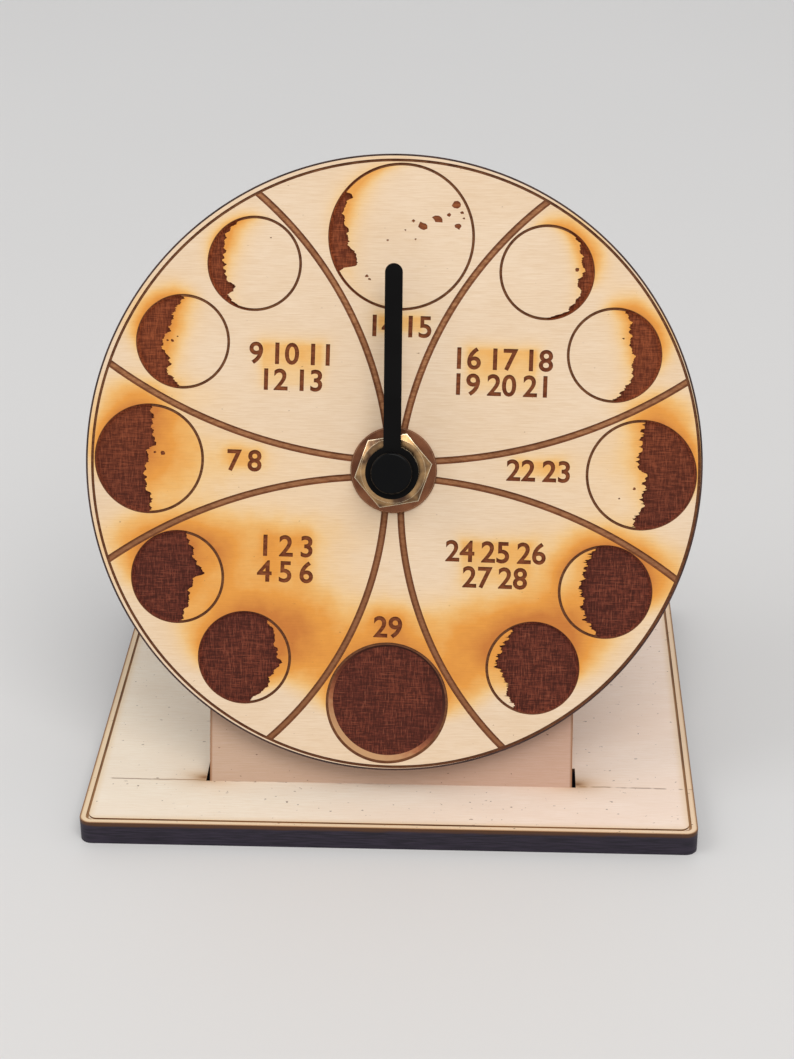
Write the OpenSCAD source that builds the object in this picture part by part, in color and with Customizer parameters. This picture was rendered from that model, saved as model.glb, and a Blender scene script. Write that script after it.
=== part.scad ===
// A moon phase desk clock. A round dial plate is fixed to a panel that leans back out of a slotted
// base. A quartz movement behind the panel turns one hand once in each cycle of the moon.
// Millimetres. X is to the right, Y to the back, Z up, and the origin is under the middle of the base.

/* [Base] */
// Width of the base
base_w = 100; // [90:1:120]
// Depth of the base
base_d = 80; // [78:1:110]
// Thickness of the base
base_t = 4; // [3:0.5:6]
// Radius of the base's corners
base_corner_r = 2; // [1:0.5:8]
// Distance of the border line from the base's edges
border_inset = 1; // [0.8:0.1:5]
// Width of the border line
border_line_w = 0.4; // [0.2:0.1:1]
// Depth of the engraved lines
line_depth = 0.3; // [0.1:0.1:0.8]

/* [Panel] */
// Width of the leaning panel
panel_w = 60; // [58:1:80]
// Length of the panel above the base, along its slope
panel_h = 84; // [82:1:95]
// Thickness of the panel
panel_t = 4; // [3:0.5:6]
// Radius of the panel's upper corners
panel_corner_r = 6; // [1:1:20]
// Angle by which the panel leans back from upright
recline = 22.4; // [15:0.1:28]
// Distance of the panel's foot from the base's front edge
foot_setback = 12.8; // [8:0.1:20]
// Free length of the slot at each end of the panel
slot_end_gap = 0.65; // [0.1:0.05:2]
// Free width of the slot behind the panel
slot_back_gap = 1.37; // [0.2:0.01:3]
// Height of the panel's foot above the surface that the base stands on
foot_lift = 0.2; // [0.1:0.1:1]

/* [Dial] */
// Diameter of the dial plate
dial_d = 100; // [98:1:110]
// Thickness of the dial plate
dial_t = 4; // [3:0.5:6]
// Height of the dial's centre above the base, along the panel
dial_up = 53.1; // [51.5:0.1:60]
// Distance of the hand's axis to the right of the dial's centre
axis_right = 0.2; // [0:0.1:1]
// Distance of the hand's axis below the dial's centre
axis_drop = 0.7; // [0:0.1:2]
// Free play of the bushing in the panel and the dial, on the radius
bushing_play = 0.2; // [0.1:0.05:0.5]

/* [Dial engraving] */
// Turn of the engraving on the plate, clockwise
art_turn = 1.2; // [0:0.1:5]
// Shift of the engraving on the plate, to the right
art_right = 0.26; // [0:0.02:0.5]
// Shift of the engraving on the plate, downwards
art_drop = 0.2; // [0:0.02:0.5]
// Radius of the ring line near the rim
ring_r = 49.2; // [46:0.1:49.2]
// Width of the ring line and of the circles round the moons
ring_line_w = 0.45; // [0.2:0.05:1]
// Width of the curved bands between the eight phases
band_w = 1.15; // [0.6:0.05:2]
// Radius at which the bands end at the hub
band_start_r = 6; // [5:0.1:6.5]
// Radius of curvature of the two upper bands beside the full moon
top_band_r = 61.5; // [50:0.5:90]
// Distance of the upper bands from the middle line at the hub
top_band_off = 0.5; // [0.2:0.1:3]
// Height above the centre at which the upper bands run upright
top_band_from = -4.5; // [-8:0.5:8]
// Radius of curvature of the two lower bands beside the new moon
low_band_r = 56; // [50:0.5:90]
// Distance of the lower bands from the middle line at the hub
low_band_off = 1.2; // [0.2:0.1:3]
// Depth below the centre at which the lower bands run upright
low_band_from = 4.2; // [-8:0.1:8]
// Radius of curvature of the bands above the two quarters
over_band_r = 83; // [60:0.5:120]
// Distance of the bands above the quarters from the middle line at the hub
over_band_off = 0.9; // [0.2:0.1:3]
// Radius of curvature of the bands below the two quarters
under_band_r = 78.5; // [60:0.5:120]
// Distance of the bands below the quarters from the middle line at the hub
under_band_off = 1.65; // [0.2:0.1:3]
// Depth of the dark parts of the moons
pocket_depth = 0.5; // [0.2:0.1:1]
// Diameter of the full moon
full_d = 23.6; // [18:0.1:24]
// Distance of the full moon above the centre
full_out = 37; // [35:0.1:37.2]
// Diameter of the new moon
new_d = 20; // [16:0.1:20]
// Distance of the new moon below the centre
new_out = 38.7; // [36:0.1:39]
// Diameter of the two quarter moons
quarter_d = 17.9; // [14:0.1:17.9]
// Distance of the quarter moons from the centre
quarter_out = 39.9; // [38:0.1:39.9]
// Diameter of the eight moons between
small_d = 15.3; // [12:0.1:15.5]
// Distance of the eight moons from the centre
small_out = 39.75; // [38:0.05:41]
// Angle of the first moon from the upright line
near_angle = 36.3; // [34:0.1:38]
// Angle of the second moon from the upright line
far_angle = 61.2; // [59:0.1:63]

/* [Fixing nut] */
// Outer radius of the washer
washer_r = 7; // [6.6:0.1:9]
// Thickness of the washer
washer_t = 0.6; // [0.4:0.1:1.2]
// Width of the nut across its flats
nut_af = 11; // [10.5:0.1:13]
// Height of the nut
nut_h = 2.3; // [1.5:0.1:3]
// Turn of the nut
nut_turn = 10.5; // [0:0.5:60]
// Radius of the threaded bushing
bushing_r = 4; // [3.5:0.1:4.5]
// Length of the bushing in front of the nut
bushing_end = 0.4; // [0.2:0.1:1]
// Play between screwed or pressed pieces, on the radius
press_gap = 0.03; // [0.02:0.01:0.05]

/* [Hand] */
// Length of the hand from its axis to its tip
hand_len = 33.1; // [20:0.1:36]
// Width of the hand
hand_w = 2.8; // [1:0.1:4]
// Thickness of the hand
hand_t = 0.6; // [0.3:0.1:1]
// Radius of the hand's round eye
hand_eye_r = 4.25; // [3.5:0.05:6]
// Height of the hand above the dial's face
hand_up = 6.8; // [6:0.1:9]
// Length of the hand's collet
collet_h = 2; // [1:0.1:2.2]
// Radius of the hand's collet
collet_r = 3.3; // [3:0.1:4]
// Radius of the cap over the hand's eye
cap_r = 3.3; // [3:0.1:4]
// Height of the cap
cap_h = 1.9; // [1.2:0.1:3]
// Radius of the cap's edge
cap_edge_r = 0.4; // [0.2:0.1:0.6]
// Depth to which the hand's tube enters the cap
tube_in_cap = 0.9; // [0.5:0.1:1]

/* [Movement case] */
// Width of the movement beyond the battery's length, for the contacts and the walls
case_room = 6.7; // [6:0.1:8]
// Depth of the movement
case_d = 16; // [16:0.1:18]
// Thickness of the case's walls
wall_t = 1.2; // [1:0.1:1.4]
// Radius of the case's corners
case_corner_r = 3; // [2:0.5:5]
// Thickness of the rubber gasket
gasket_t = 1; // [0.5:0.1:2]
// Radius of the gasket
gasket_r = 11; // [8:0.5:14]
// Play of the cover in the case
cover_gap = 0.05; // [0.02:0.01:0.2]

/* [Battery] */
// Diameter of the battery
battery_d = 14.2; // [13.8:0.1:14.4]
// Length of the battery without its button
battery_len = 49.3; // [48:0.1:49.5]
// Length of the battery's button
button_len = 1.2; // [1:0.1:1.3]
// Radius of the battery's button
button_r = 2.75; // [2:0.05:3]
// Free play round the battery in its bay
battery_play = 0.2; // [0.1:0.05:0.3]
// Thickness of the contact strips
contact_t = 0.3; // [0.2:0.05:0.4]
// Gap between the contacts and the battery
contact_gap = 0.25; // [0.1:0.05:0.4]
// Width of the contact plates
contact_w = 8; // [5:0.5:11]

/* [Gear train] */
// Pitch diameter of a gear for each of its teeth
gear_mod = 0.3; // [0.28:0.01:0.3]
// Teeth of the drive wheel
drive_teeth = 64; // [60:1:66]
// Teeth of the transfer wheel and of the step wheel
wheel_teeth = 48; // [44:1:50]
// Leaves of the pinions
pinion_teeth = 8; // [7:1:9]
// Teeth of the setting wheel
set_teeth = 36; // [32:1:38]
// Leaves of the setting pinion
knob_teeth = 12; // [10:1:14]
// Thickness of the gears
gear_t = 0.8; // [0.6:0.1:0.9]
// Space between gears that pass each other
layer_gap = 0.6; // [0.4:0.05:0.7]
// Share of the tooth pitch that a tooth fills
tooth_share = 0.44; // [0.4:0.01:0.46]
// Direction of the transfer wheel from the hand's axis
transfer_dir = 20; // [15:1:25]
// Direction of the step wheel from the transfer wheel
step_dir = 110; // [105:1:115]
// Direction of the rotor from the step wheel
rotor_dir = 170; // [165:1:172]
// Direction of the setting pinion from the hand's axis
knob_dir = 200; // [190:1:215]
// Radius of the arbors
arbor_r = 0.7; // [0.6:0.05:0.75]
// Radius of the pivots
pivot_r = 0.4; // [0.3:0.05:0.5]
// Play of a pivot or shaft in its hole, on the radius
run_play = 0.05; // [0.02:0.01:0.08]
// Radius of the hand's tube
tube_r = 2.5; // [2:0.1:2.8]
// Wall of the hand's tube
tube_wall = 0.6; // [0.4:0.1:1]
// Thickness of the bridge that carries the rear pivots
bridge_t = 1; // [0.8:0.1:1.2]

/* [Motor] */
// Radius of the rotor's magnet
magnet_r = 1.5; // [1:0.1:1.6]
// Length of the rotor's magnet
magnet_len = 1.2; // [1:0.1:1.4]
// Gap between the magnet and the stator
air_gap = 0.5; // [0.3:0.05:0.7]
// Thickness of the stator
stator_t = 0.8; // [0.5:0.1:1]
// Width of the stator's legs
stator_leg_w = 3; // [2:0.1:3.2]
// Radius of the coil's winding
coil_r = 2.5; // [2:0.1:2.6]
// Radius of the coil's flanges
flange_r = 3; // [2.7:0.1:3]
// Thickness of the coil's flanges
flange_t = 0.8; // [0.5:0.1:1]
// Length of the coil with its flanges
coil_len = 11.6; // [8:0.1:11.6]

/* [Setting knob] */
// Radius of the setting knob
knob_r = 4.5; // [3.5:0.1:5]
// Height of the setting knob
knob_h = 3.5; // [2:0.5:6]
// Gap between the setting knob and the cover
knob_gap = 0.4; // [0.2:0.1:1]
// Radius of the setting knob's shaft
knob_shaft_r = 1; // [0.8:0.1:1.2]
// Number of grooves round the setting knob
knob_grooves = 18; // [12:1:24]
// Radius of each groove
groove_r = 0.35; // [0.2:0.05:0.4]

/* [Circuit] */
// Width of the circuit board
board_w = 15.5; // [12:0.5:15.5]
// Height of the circuit board
board_h = 20.5; // [18:0.5:21]
// Thickness of the circuit board
board_t = 0.8; // [0.6:0.1:1]
// Radius of the quartz crystal's can
crystal_r = 0.9; // [0.7:0.1:1]
// Length of the quartz crystal's can
crystal_len = 6; // [4:0.5:8]
// Radius of the driver chip's round cover
chip_r = 2.6; // [2:0.1:3]
// Height of the driver chip's round cover
chip_h = 0.9; // [0.5:0.1:1.2]

/* [Screws] */
// Radius of the screws' shanks
screw_r = 0.7; // [0.5:0.1:0.8]
// Radius of the screws' heads
screw_head_r = 1.3; // [1.1:0.1:1.4]
// Height of the screws' heads
screw_head_h = 0.7; // [0.5:0.1:0.7]
// Length of the screws' shanks
screw_len = 4; // [3:0.5:5]
// Radius of the posts that the screws enter
post_r = 1.6; // [1.5:0.1:1.7]

/* [Hidden] */

$fn = 96;
// Length by which a cutter passes the face that it cuts
cut = 0.5;
// Least number of teeth of a wheel; a gear with fewer is a pinion
least_wheel = 20;

// Across the slot, the base and the panel are cut by planes that lean with the panel
lean_run = base_t * tan(recline);
foot_y = foot_setback - base_d / 2;
slot_back_y = foot_y + panel_t / cos(recline) + slot_back_gap;
slot_w = panel_w + 2 * slot_end_gap;
// Length of the panel below the base's top before its foot is cut level
tenon_len = 2 * base_t + panel_t;

// The hand's axis, up the panel from the base
axis_up = dial_up - axis_drop;
hub_bore_r = bushing_r + bushing_play;

// Heights along the hand's axis, forward of the panel's front face
washer_z = dial_t;
nut_z = washer_z + washer_t;
bushing_top = nut_z + nut_h + bushing_end;
hand_z = dial_t + hand_up;
cap_z = hand_z + hand_t;
tube_top = cap_z + tube_in_cap;
// Radius of the flat circle that the nut's chamfer leaves on its front
nut_top_r = nut_af / 2 - 0.3;
nut_chamfer = 28;
panel_back = -panel_t;
// The movement is as wide as the battery's bay needs. Below the axis it has room for the gears'
// bridge and the bay, and above the axis it is as high.
bay_wall_t = 1;
bridge_low = -10.8;
bridge_gap = 0.4;
case_w = battery_len + case_room;
case_h = 2 * (bridge_gap - bridge_low + bay_wall_t + battery_d + 2 * battery_play + wall_t);
case_front = panel_back - gasket_t;
case_back = case_front - case_d;
case_in = case_front - wall_t;
cover_in = case_back + wall_t;

// Levels of the gears, each at its forward face, from the case's front wall to the back
thin_gap = 0.05;
bushing_flange_t = 1;
bushing_flange_r = 6.4;
collar_t = 0.8;
collar_r = tube_r + 1.2;
collar_z = case_in - bushing_flange_t - 2 * thin_gap;
drive_z = collar_z - collar_t - thin_gap;
clutch_t = 0.3;
clutch_z = drive_z - gear_t - thin_gap;
transfer_z = drive_z - gear_t - layer_gap;
step_z = transfer_z - gear_t - layer_gap;
set_z = step_z - gear_t - layer_gap;
magnet_z = set_z - gear_t;
bridge_z = magnet_z - magnet_len - layer_gap;
bridge_back = bridge_z - bridge_t;
pinion_over = 0.1;
stator_z = magnet_z - (magnet_len - stator_t) / 2;

// Places of the arbors about the hand's axis
function polar(r, a) = [r * cos(a), r * sin(a)];
function reach(a, b) = (a + b) * gear_mod / 2;
transfer_at = polar(reach(drive_teeth, pinion_teeth), transfer_dir);
step_at = transfer_at + polar(reach(wheel_teeth, pinion_teeth), step_dir);
rotor_at = step_at + polar(reach(wheel_teeth, pinion_teeth), rotor_dir);
knob_at = polar(reach(set_teeth, knob_teeth), knob_dir);

// Turn that sets gear b's gap against gear a's tooth on the line from a to b
function meshed(dir, teeth_a, turn_a, teeth_b) =
    dir + 180 - (0.5 - (dir - turn_a) * teeth_a / 360) * 360 / teeth_b;
drive_turn = 0;
transfer_turn = meshed(transfer_dir, drive_teeth, drive_turn, pinion_teeth);
step_turn = meshed(step_dir, wheel_teeth, transfer_turn, pinion_teeth);
rotor_turn = meshed(rotor_dir, wheel_teeth, step_turn, pinion_teeth);
set_turn = 0;
knob_turn = meshed(knob_dir, set_teeth, set_turn, knob_teeth);

// Heights of a tooth's tip above its pitch circle and of its root below it, in modules
tip_share = 0.85;
root_share = 1.25;
// Slope of a tooth's flank above its pitch circle
flank_angle = 20;
// Width of a tooth at its root as a share of its width at the pitch circle
wheel_foot = 1.1;
pinion_foot = 0.8;

// The bosses and posts of the case
boss_r = 1.4;
boss_h = 1.2;
boss_top = case_in - boss_h;
boss_hole_h = 1;
pivot_gap = 0.1;
bridge_left = -15;
bridge_right = 20;
bridge_high = 16;
bridge_corner_r = 2;
post_inset = 2.4;
bridge_posts = [[bridge_left + post_inset, bridge_low + post_inset],
    [bridge_right - post_inset, bridge_low + post_inset],
    [bridge_right - post_inset, bridge_high - post_inset],
    [bridge_left + post_inset, bridge_high / 2 - post_inset]];
cover_post_in = 3.4;
cover_posts = [for (x = [-1, 1]) [x * (case_w / 2 - cover_post_in), case_h / 2 - cover_post_in]];

// The battery's bay along the bottom of the case
bay_low = -case_h / 2 + wall_t;
bay_high = bay_low + battery_d + 2 * battery_play;
battery_y = bay_low + battery_play + battery_d / 2;
battery_z = case_in - battery_play - battery_d / 2;
bay_end = case_w / 2 - wall_t;
plus_face = bay_end - contact_t;
battery_right = plus_face - contact_gap - button_len;
battery_left = battery_right - battery_len;
contact_up = 10;
notch_gap = 0.1;

// The circuit board lies on the bridge
board_left = -3.5;
board_low = -9.5;
board_z = bridge_back;
board_back = board_z - board_t;
chip_at = [board_left + board_w * 0.6, board_low + board_h * 0.65];
chip_top_r = chip_r - 0.8;
crystal_at = [board_left + (board_w - crystal_len) / 2, board_low + board_h * 0.3];
strip_w = 2;
strip_y = bay_high + bay_wall_t + notch_gap + strip_w / 2;

// The coil lies above the bridge and the rotor, and the stator joins them
coil_in = 4.8;
coil_y = case_h / 2 - wall_t - coil_in;
coil_mid = -4;
core_r = 0.9;
core_over = 3;
bobbin_wall_t = 0.5;
stator_half_w = 3;
core_z = stator_z - stator_t - core_r;

// Frame of the panel: X right, Y up the slope, Z forward from the panel's front face
module on_panel() translate([0, foot_y, base_t]) rotate([90 - recline, 0, 0]) children();
// Frame of the dial's engraving and frame of the hand's axis
module on_dial() on_panel() translate([0, dial_up, 0]) children();
module on_axis() on_panel() translate([axis_right, axis_up, 0]) children();
module at_height(z) on_axis() translate([0, 0, z]) children();

// A rectangular plate with rounded corners
module plate(w, h, r, t) linear_extrude(t) {
    square([w - 2 * r, h], center = true);
    square([w, h - 2 * r], center = true);
    for (x = [-1, 1], y = [-1, 1]) translate([x * (w / 2 - r), y * (h / 2 - r)]) circle(r);
}

// A flat ring, a disc with a round hole
module ring(r_out, r_in, h) difference() {
    cylinder(h = h, r = r_out);
    translate([0, 0, -cut]) cylinder(h = h + 2 * cut, r = r_in);
}

// Outline of a gear, with one tooth on the direction turn
function tooth_points(n) = let (
    r = n * gear_mod / 2,
    half = 180 * tooth_share / n,
    lean = asin(tan(flank_angle) * tip_share * gear_mod / r),
    foot = half * (n < least_wheel ? pinion_foot : wheel_foot))
    [[r - root_share * gear_mod, -foot], [r, -half], [r + tip_share * gear_mod, lean - half],
    [r + tip_share * gear_mod, half - lean], [r, half], [r - root_share * gear_mod, foot]];

module gear(n, turn, t) linear_extrude(t)
    polygon([for (i = [0:n - 1], p = tooth_points(n)) polar(p[0], turn + i * 360 / n + p[1])]);

// An arbor from the front pivot in the case to the rear pivot in the bridge
module arbor(r) {
    shaft_top = boss_top - pivot_gap;
    translate([0, 0, bridge_z + pivot_gap]) cylinder(h = shaft_top - bridge_z - pivot_gap, r = r);
    translate([0, 0, bridge_back + pivot_gap])
        cylinder(h = boss_top + boss_hole_h - pivot_gap - bridge_back - pivot_gap, r = pivot_r);
}

// The base and the panel

module border_line() difference() {
    plate(base_w - 2 * border_inset, base_d - 2 * border_inset, base_corner_r - border_inset / 2,
        line_depth + cut);
    translate([0, 0, -cut])
        plate(base_w - 2 * (border_inset + border_line_w), base_d - 2 * (border_inset + border_line_w),
            base_corner_r - border_inset / 2, line_depth + 3 * cut);
}

module base_plate() color("burlywood") difference() {
    plate(base_w, base_d, base_corner_r, base_t);
    translate([0, 0, base_t - line_depth]) border_line();
    translate([-slot_w / 2, 0, 0]) rotate([90, 0, 90]) linear_extrude(slot_w)
        polygon([[foot_y - lean_run * (1 + cut / base_t), -cut], [slot_back_y, -cut],
            [slot_back_y, base_t + cut], [foot_y + lean_run * cut / base_t, base_t + cut]]);
}

module upright_panel() color("wheat") difference() {
    on_panel() translate([0, 0, -panel_t]) difference() {
        linear_extrude(panel_t) {
            translate([-panel_w / 2, -tenon_len])
                square([panel_w, panel_h + tenon_len - panel_corner_r]);
            translate([panel_corner_r - panel_w / 2, 0])
                square([panel_w - 2 * panel_corner_r, panel_h]);
            for (x = [-1, 1])
                translate([x * (panel_w / 2 - panel_corner_r), panel_h - panel_corner_r])
                    circle(panel_corner_r);
        }
        translate([axis_right, axis_up, -cut]) cylinder(h = panel_t + 2 * cut, r = hub_bore_r);
    }
    translate([-base_w / 2, -base_d / 2, foot_lift - base_d]) cube([base_w, base_d, base_d]);
}

// The dial and its engraving

// The dark part of a moon, on the left of the edge of the light, which is an arc from pole to pole
module shade(r, share) {
    bulge = 2 * share - 1;
    edge_r = r * (1 + bulge * bulge) / (2 * max(abs(bulge), 0.001));
    if (bulge > 0) intersection() {
        circle(r);
        translate([bulge * r - edge_r, 0]) circle(edge_r);
    }
    if (bulge < 0) difference() {
        circle(r);
        translate([bulge * r + edge_r, 0]) circle(edge_r);
    }
    if (bulge == 0) intersection() {
        circle(r);
        translate([-r - cut, -r - cut]) square([r + cut, 2 * (r + cut)]);
    }
}

// Each moon: its centre, its radius, the shaded share, and the side on which the shade lies
function beside(angle, side, up) = [side * small_out * sin(angle), up * small_out * cos(angle)];
MOONS = [[[0, full_out], full_d / 2, 0.08, -1],
    [beside(near_angle, -1, 1), small_d / 2, 0.18, -1],
    [beside(far_angle, -1, 1), small_d / 2, 0.35, -1],
    [[-quarter_out, 0], quarter_d / 2, 0.5, -1],
    [beside(far_angle, -1, -1), small_d / 2, 0.66, -1],
    [beside(near_angle, -1, -1), small_d / 2, 0.85, -1],
    [[0, -new_out], new_d / 2, 1, -1],
    [beside(near_angle, 1, -1), small_d / 2, 0.85, 1],
    [beside(far_angle, 1, -1), small_d / 2, 0.72, 1],
    [[quarter_out, 0], quarter_d / 2, 0.5, 1],
    [beside(far_angle, 1, 1), small_d / 2, 0.28, 1],
    [beside(near_angle, 1, 1), small_d / 2, 0.15, 1]];

module circle_line(r) difference() {
    circle(r + ring_line_w / 2);
    circle(r - ring_line_w / 2);
}

// A band that runs along +Y at the given offset, at the distance "from", and curves towards +X
module band(r, off, from) intersection() {
    translate([r + off, from]) difference() {
        circle(r + band_w / 2);
        circle(r - band_w / 2);
    }
    difference() {
        square([ring_r, ring_r]);
        circle(band_start_r);
    }
    circle(ring_r);
}

module bands() {
    for (side = [0, 1]) mirror([side, 0]) {
        band(top_band_r, top_band_off, top_band_from);
        mirror([0, 1]) band(low_band_r, low_band_off, low_band_from);
        rotate(-90) mirror([1, 0]) band(over_band_r, over_band_off, 0);
        rotate(-90) band(under_band_r, under_band_off, 0);
    }
}

module engraving() translate([art_right, -art_drop]) rotate(-art_turn) children();

module dial() color("moccasin") on_dial() difference() {
    cylinder(h = dial_t, d = dial_d);
    translate([axis_right, -axis_drop, -cut]) cylinder(h = dial_t + 2 * cut, r = hub_bore_r);
    translate([0, 0, dial_t - line_depth]) linear_extrude(line_depth + cut) engraving() {
        circle_line(ring_r);
        bands();
        for (m = MOONS) translate(m[0]) circle_line(m[1] - ring_line_w / 2);
    }
    translate([0, 0, dial_t - pocket_depth]) linear_extrude(pocket_depth + cut) engraving()
        for (m = MOONS) translate(m[0]) mirror([m[3] > 0 ? 1 : 0, 0])
            if (m[2] < 1) shade(m[1] - ring_line_w / 2, m[2]);
            else circle(m[1] - ring_line_w / 2);
}

// The washer, the nut and the bushing that clamp the movement to the panel

module dial_washer() color("goldenrod") at_height(washer_z) {
    edge = washer_t / 4;
    rotate_extrude() polygon([[bushing_r + press_gap, 0], [washer_r, 0], [washer_r, washer_t - edge],
        [washer_r - edge, washer_t], [bushing_r + press_gap, washer_t]]);
}

module dial_nut() color("gold") at_height(nut_z) {
    corner_r = nut_af / 2 / cos(30);
    intersection() {
        rotate(nut_turn) linear_extrude(nut_h) difference() {
            circle(corner_r, $fn = 6);
            circle(bushing_r + press_gap);
        }
        rotate_extrude() polygon([[0, -cut], [corner_r + cut, -cut],
            [corner_r + cut, nut_h - (corner_r + cut - nut_top_r) * tan(nut_chamfer)],
            [nut_top_r, nut_h], [0, nut_h]]);
    }
}

module threaded_bushing() color("darkgoldenrod") on_axis() difference() {
    union() {
        translate([0, 0, case_in]) cylinder(h = bushing_top - case_in, r = bushing_r);
        translate([0, 0, case_in - bushing_flange_t])
            cylinder(h = bushing_flange_t, r = bushing_flange_r);
    }
    translate([0, 0, case_in - bushing_flange_t - cut])
        cylinder(h = bushing_top - case_in + bushing_flange_t + 2 * cut, r = tube_r + run_play);
}

module rubber_gasket() color("dimgray") at_height(case_front)
    ring(gasket_r, bushing_r + press_gap, gasket_t);

// The case of the movement and its cover

module case_posts() {
    for (p = [transfer_at, step_at, rotor_at]) translate([p[0], p[1], boss_top])
        cylinder(h = boss_h + cut, r = boss_r);
    for (p = bridge_posts) translate([p[0], p[1], bridge_z])
        cylinder(h = case_in - bridge_z + cut, r = post_r);
    for (p = cover_posts) translate([p[0], p[1], cover_in])
        cylinder(h = case_in - cover_in + cut, r = post_r);
}

module case_holes() {
    translate([0, 0, case_in - cut]) cylinder(h = wall_t + 2 * cut, r = bushing_r + press_gap);
    for (p = [transfer_at, step_at, rotor_at]) translate([p[0], p[1], boss_top - cut])
        cylinder(h = boss_hole_h + cut, r = pivot_r + run_play);
    for (p = bridge_posts) translate([p[0], p[1], bridge_z - cut])
        cylinder(h = screw_len - bridge_t + 2 * cut, r = screw_r + press_gap);
    for (p = cover_posts) translate([p[0], p[1], cover_in - cut])
        cylinder(h = screw_len - wall_t + 2 * cut, r = screw_r + press_gap);
}

module movement_case() color([0.15, 0.15, 0.16]) on_axis() difference() {
    union() {
        difference() {
            translate([0, 0, case_back]) plate(case_w, case_h, case_corner_r, case_d);
            translate([0, 0, case_back - cut])
                plate(case_w - 2 * wall_t, case_h - 2 * wall_t, case_corner_r - wall_t,
                    case_d - wall_t + cut);
        }
        translate([-case_w / 2 + wall_t / 2, bay_high, cover_in])
            cube([case_w - wall_t, bay_wall_t, case_in - cover_in + wall_t / 2]);
        case_posts();
    }
    case_holes();
    for (x = [-1, 1]) translate([x * (bay_end - contact_t / 2), bay_high + bay_wall_t / 2,
            board_back - contact_t / 2])
        cube([contact_t + 2 * notch_gap, bay_wall_t + 2 * cut, contact_t + 2 * notch_gap],
            center = true);
}

module rear_cover() color([0.2, 0.2, 0.21]) on_axis() difference() {
    side = case_w / 2 - wall_t - cover_gap;
    top = case_h / 2 - wall_t - cover_gap;
    low = bay_high;
    r = case_corner_r - wall_t;
    translate([0, 0, case_back]) linear_extrude(wall_t) {
        translate([-side, low]) square([2 * side, top - low - r]);
        translate([r - side, low]) square([2 * (side - r), top - low]);
        for (x = [-1, 1]) translate([x * (side - r), top - r]) circle(r);
    }
    translate([knob_at[0], knob_at[1], case_back - cut])
        cylinder(h = wall_t + 2 * cut, r = knob_shaft_r + run_play);
    for (p = cover_posts) translate([p[0], p[1], case_back - cut])
        cylinder(h = wall_t + 2 * cut, r = screw_r + press_gap);
}

module gear_bridge() color("whitesmoke") on_axis() difference() {
    translate([(bridge_left + bridge_right) / 2, (bridge_low + bridge_high) / 2, bridge_back])
        plate(bridge_right - bridge_left, bridge_high - bridge_low, bridge_corner_r, bridge_t);
    translate([0, 0, bridge_back - cut])
        cylinder(h = bridge_t + 2 * cut, r = tube_r + run_play);
    translate([knob_at[0], knob_at[1], bridge_back - cut])
        cylinder(h = bridge_t + 2 * cut, r = knob_shaft_r + run_play);
    for (p = [transfer_at, step_at, rotor_at]) translate([p[0], p[1], bridge_back - cut])
        cylinder(h = bridge_t + 2 * cut, r = pivot_r + run_play);
    for (p = bridge_posts) translate([p[0], p[1], bridge_back - cut])
        cylinder(h = bridge_t + 2 * cut, r = screw_r + press_gap);
}

// A screw whose head's underside is at height 0 and whose shank points forward
module screw() {
    slot_depth = screw_head_h / 2;
    difference() {
        translate([0, 0, -screw_head_h]) cylinder(h = screw_head_h, r = screw_head_r);
        translate([0, 0, -screw_head_h])
            cube([3 * screw_head_r, screw_r / 2, 2 * slot_depth], center = true);
    }
    cylinder(h = screw_len, r = screw_r);
}

module bridge_screws() color("silver") at_height(bridge_back)
    for (p = bridge_posts) translate([p[0], p[1], 0]) screw();

module cover_screws() color("silver") at_height(case_back)
    for (p = cover_posts) translate([p[0], p[1], 0]) screw();

// The circuit and the motor

module circuit_board() color("seagreen") at_height(board_back)
    translate([board_left, board_low, 0]) cube([board_w, board_h, board_t]);

module driver_chip() color([0.08, 0.08, 0.08]) at_height(board_back)
    translate([chip_at[0], chip_at[1], -chip_h]) rotate_extrude()
        polygon([[0, 0], [chip_top_r, 0], [chip_r, chip_h / 2], [chip_r, chip_h], [0, chip_h]]);

module quartz_crystal() color("lightgray") at_height(board_back)
    translate([crystal_at[0], crystal_at[1], -crystal_r]) rotate([0, 90, 0])
        cylinder(h = crystal_len, r = crystal_r);

// The tube that carries the winding, with a flange at each end
module coil_bobbin() color("ivory") at_height(core_z)
    translate([coil_mid - coil_len / 2, coil_y, 0]) rotate([90, 0, 90]) {
        ring(core_r + bobbin_wall_t, core_r + press_gap, coil_len);
        ring(flange_r, core_r + press_gap, flange_t);
        translate([0, 0, coil_len - flange_t]) ring(flange_r, core_r + press_gap, flange_t);
    }

module coil_winding() color("peru") at_height(core_z)
    translate([coil_mid - coil_len / 2 + flange_t, coil_y, 0]) rotate([90, 0, 90])
        ring(coil_r, core_r + bobbin_wall_t, coil_len - 2 * flange_t);

module coil_core() color("gray") at_height(core_z)
    translate([coil_mid - coil_len / 2 - core_over, coil_y, 0]) rotate([90, 0, 90])
        cylinder(h = coil_len + 2 * core_over, r = core_r);

// A flat fork round the rotor whose two legs reach up to the ends of the coil's core
module stator() color("slategray") at_height(stator_z - stator_t) {
    left = coil_mid - coil_len / 2 - core_over;
    right = coil_mid + coil_len / 2 + core_over;
    linear_extrude(stator_t) difference() {
        union() {
            translate([left, rotor_at[1] - stator_half_w]) square([right - left, 2 * stator_half_w]);
            for (x = [left, right - stator_leg_w])
                translate([x, rotor_at[1]]) square([stator_leg_w, coil_y - rotor_at[1]]);
        }
        translate(rotor_at) circle(magnet_r + air_gap);
    }
}

// The battery and its contacts

module battery_contact() {
    z = board_back - contact_t;
    translate([-contact_t, battery_y - contact_w / 2, battery_z - contact_up / 2])
        cube([contact_t, contact_w, contact_up]);
    translate([-contact_t, battery_y, z]) cube([contact_t, strip_y + strip_w / 2 - battery_y, contact_t]);
}

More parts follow.
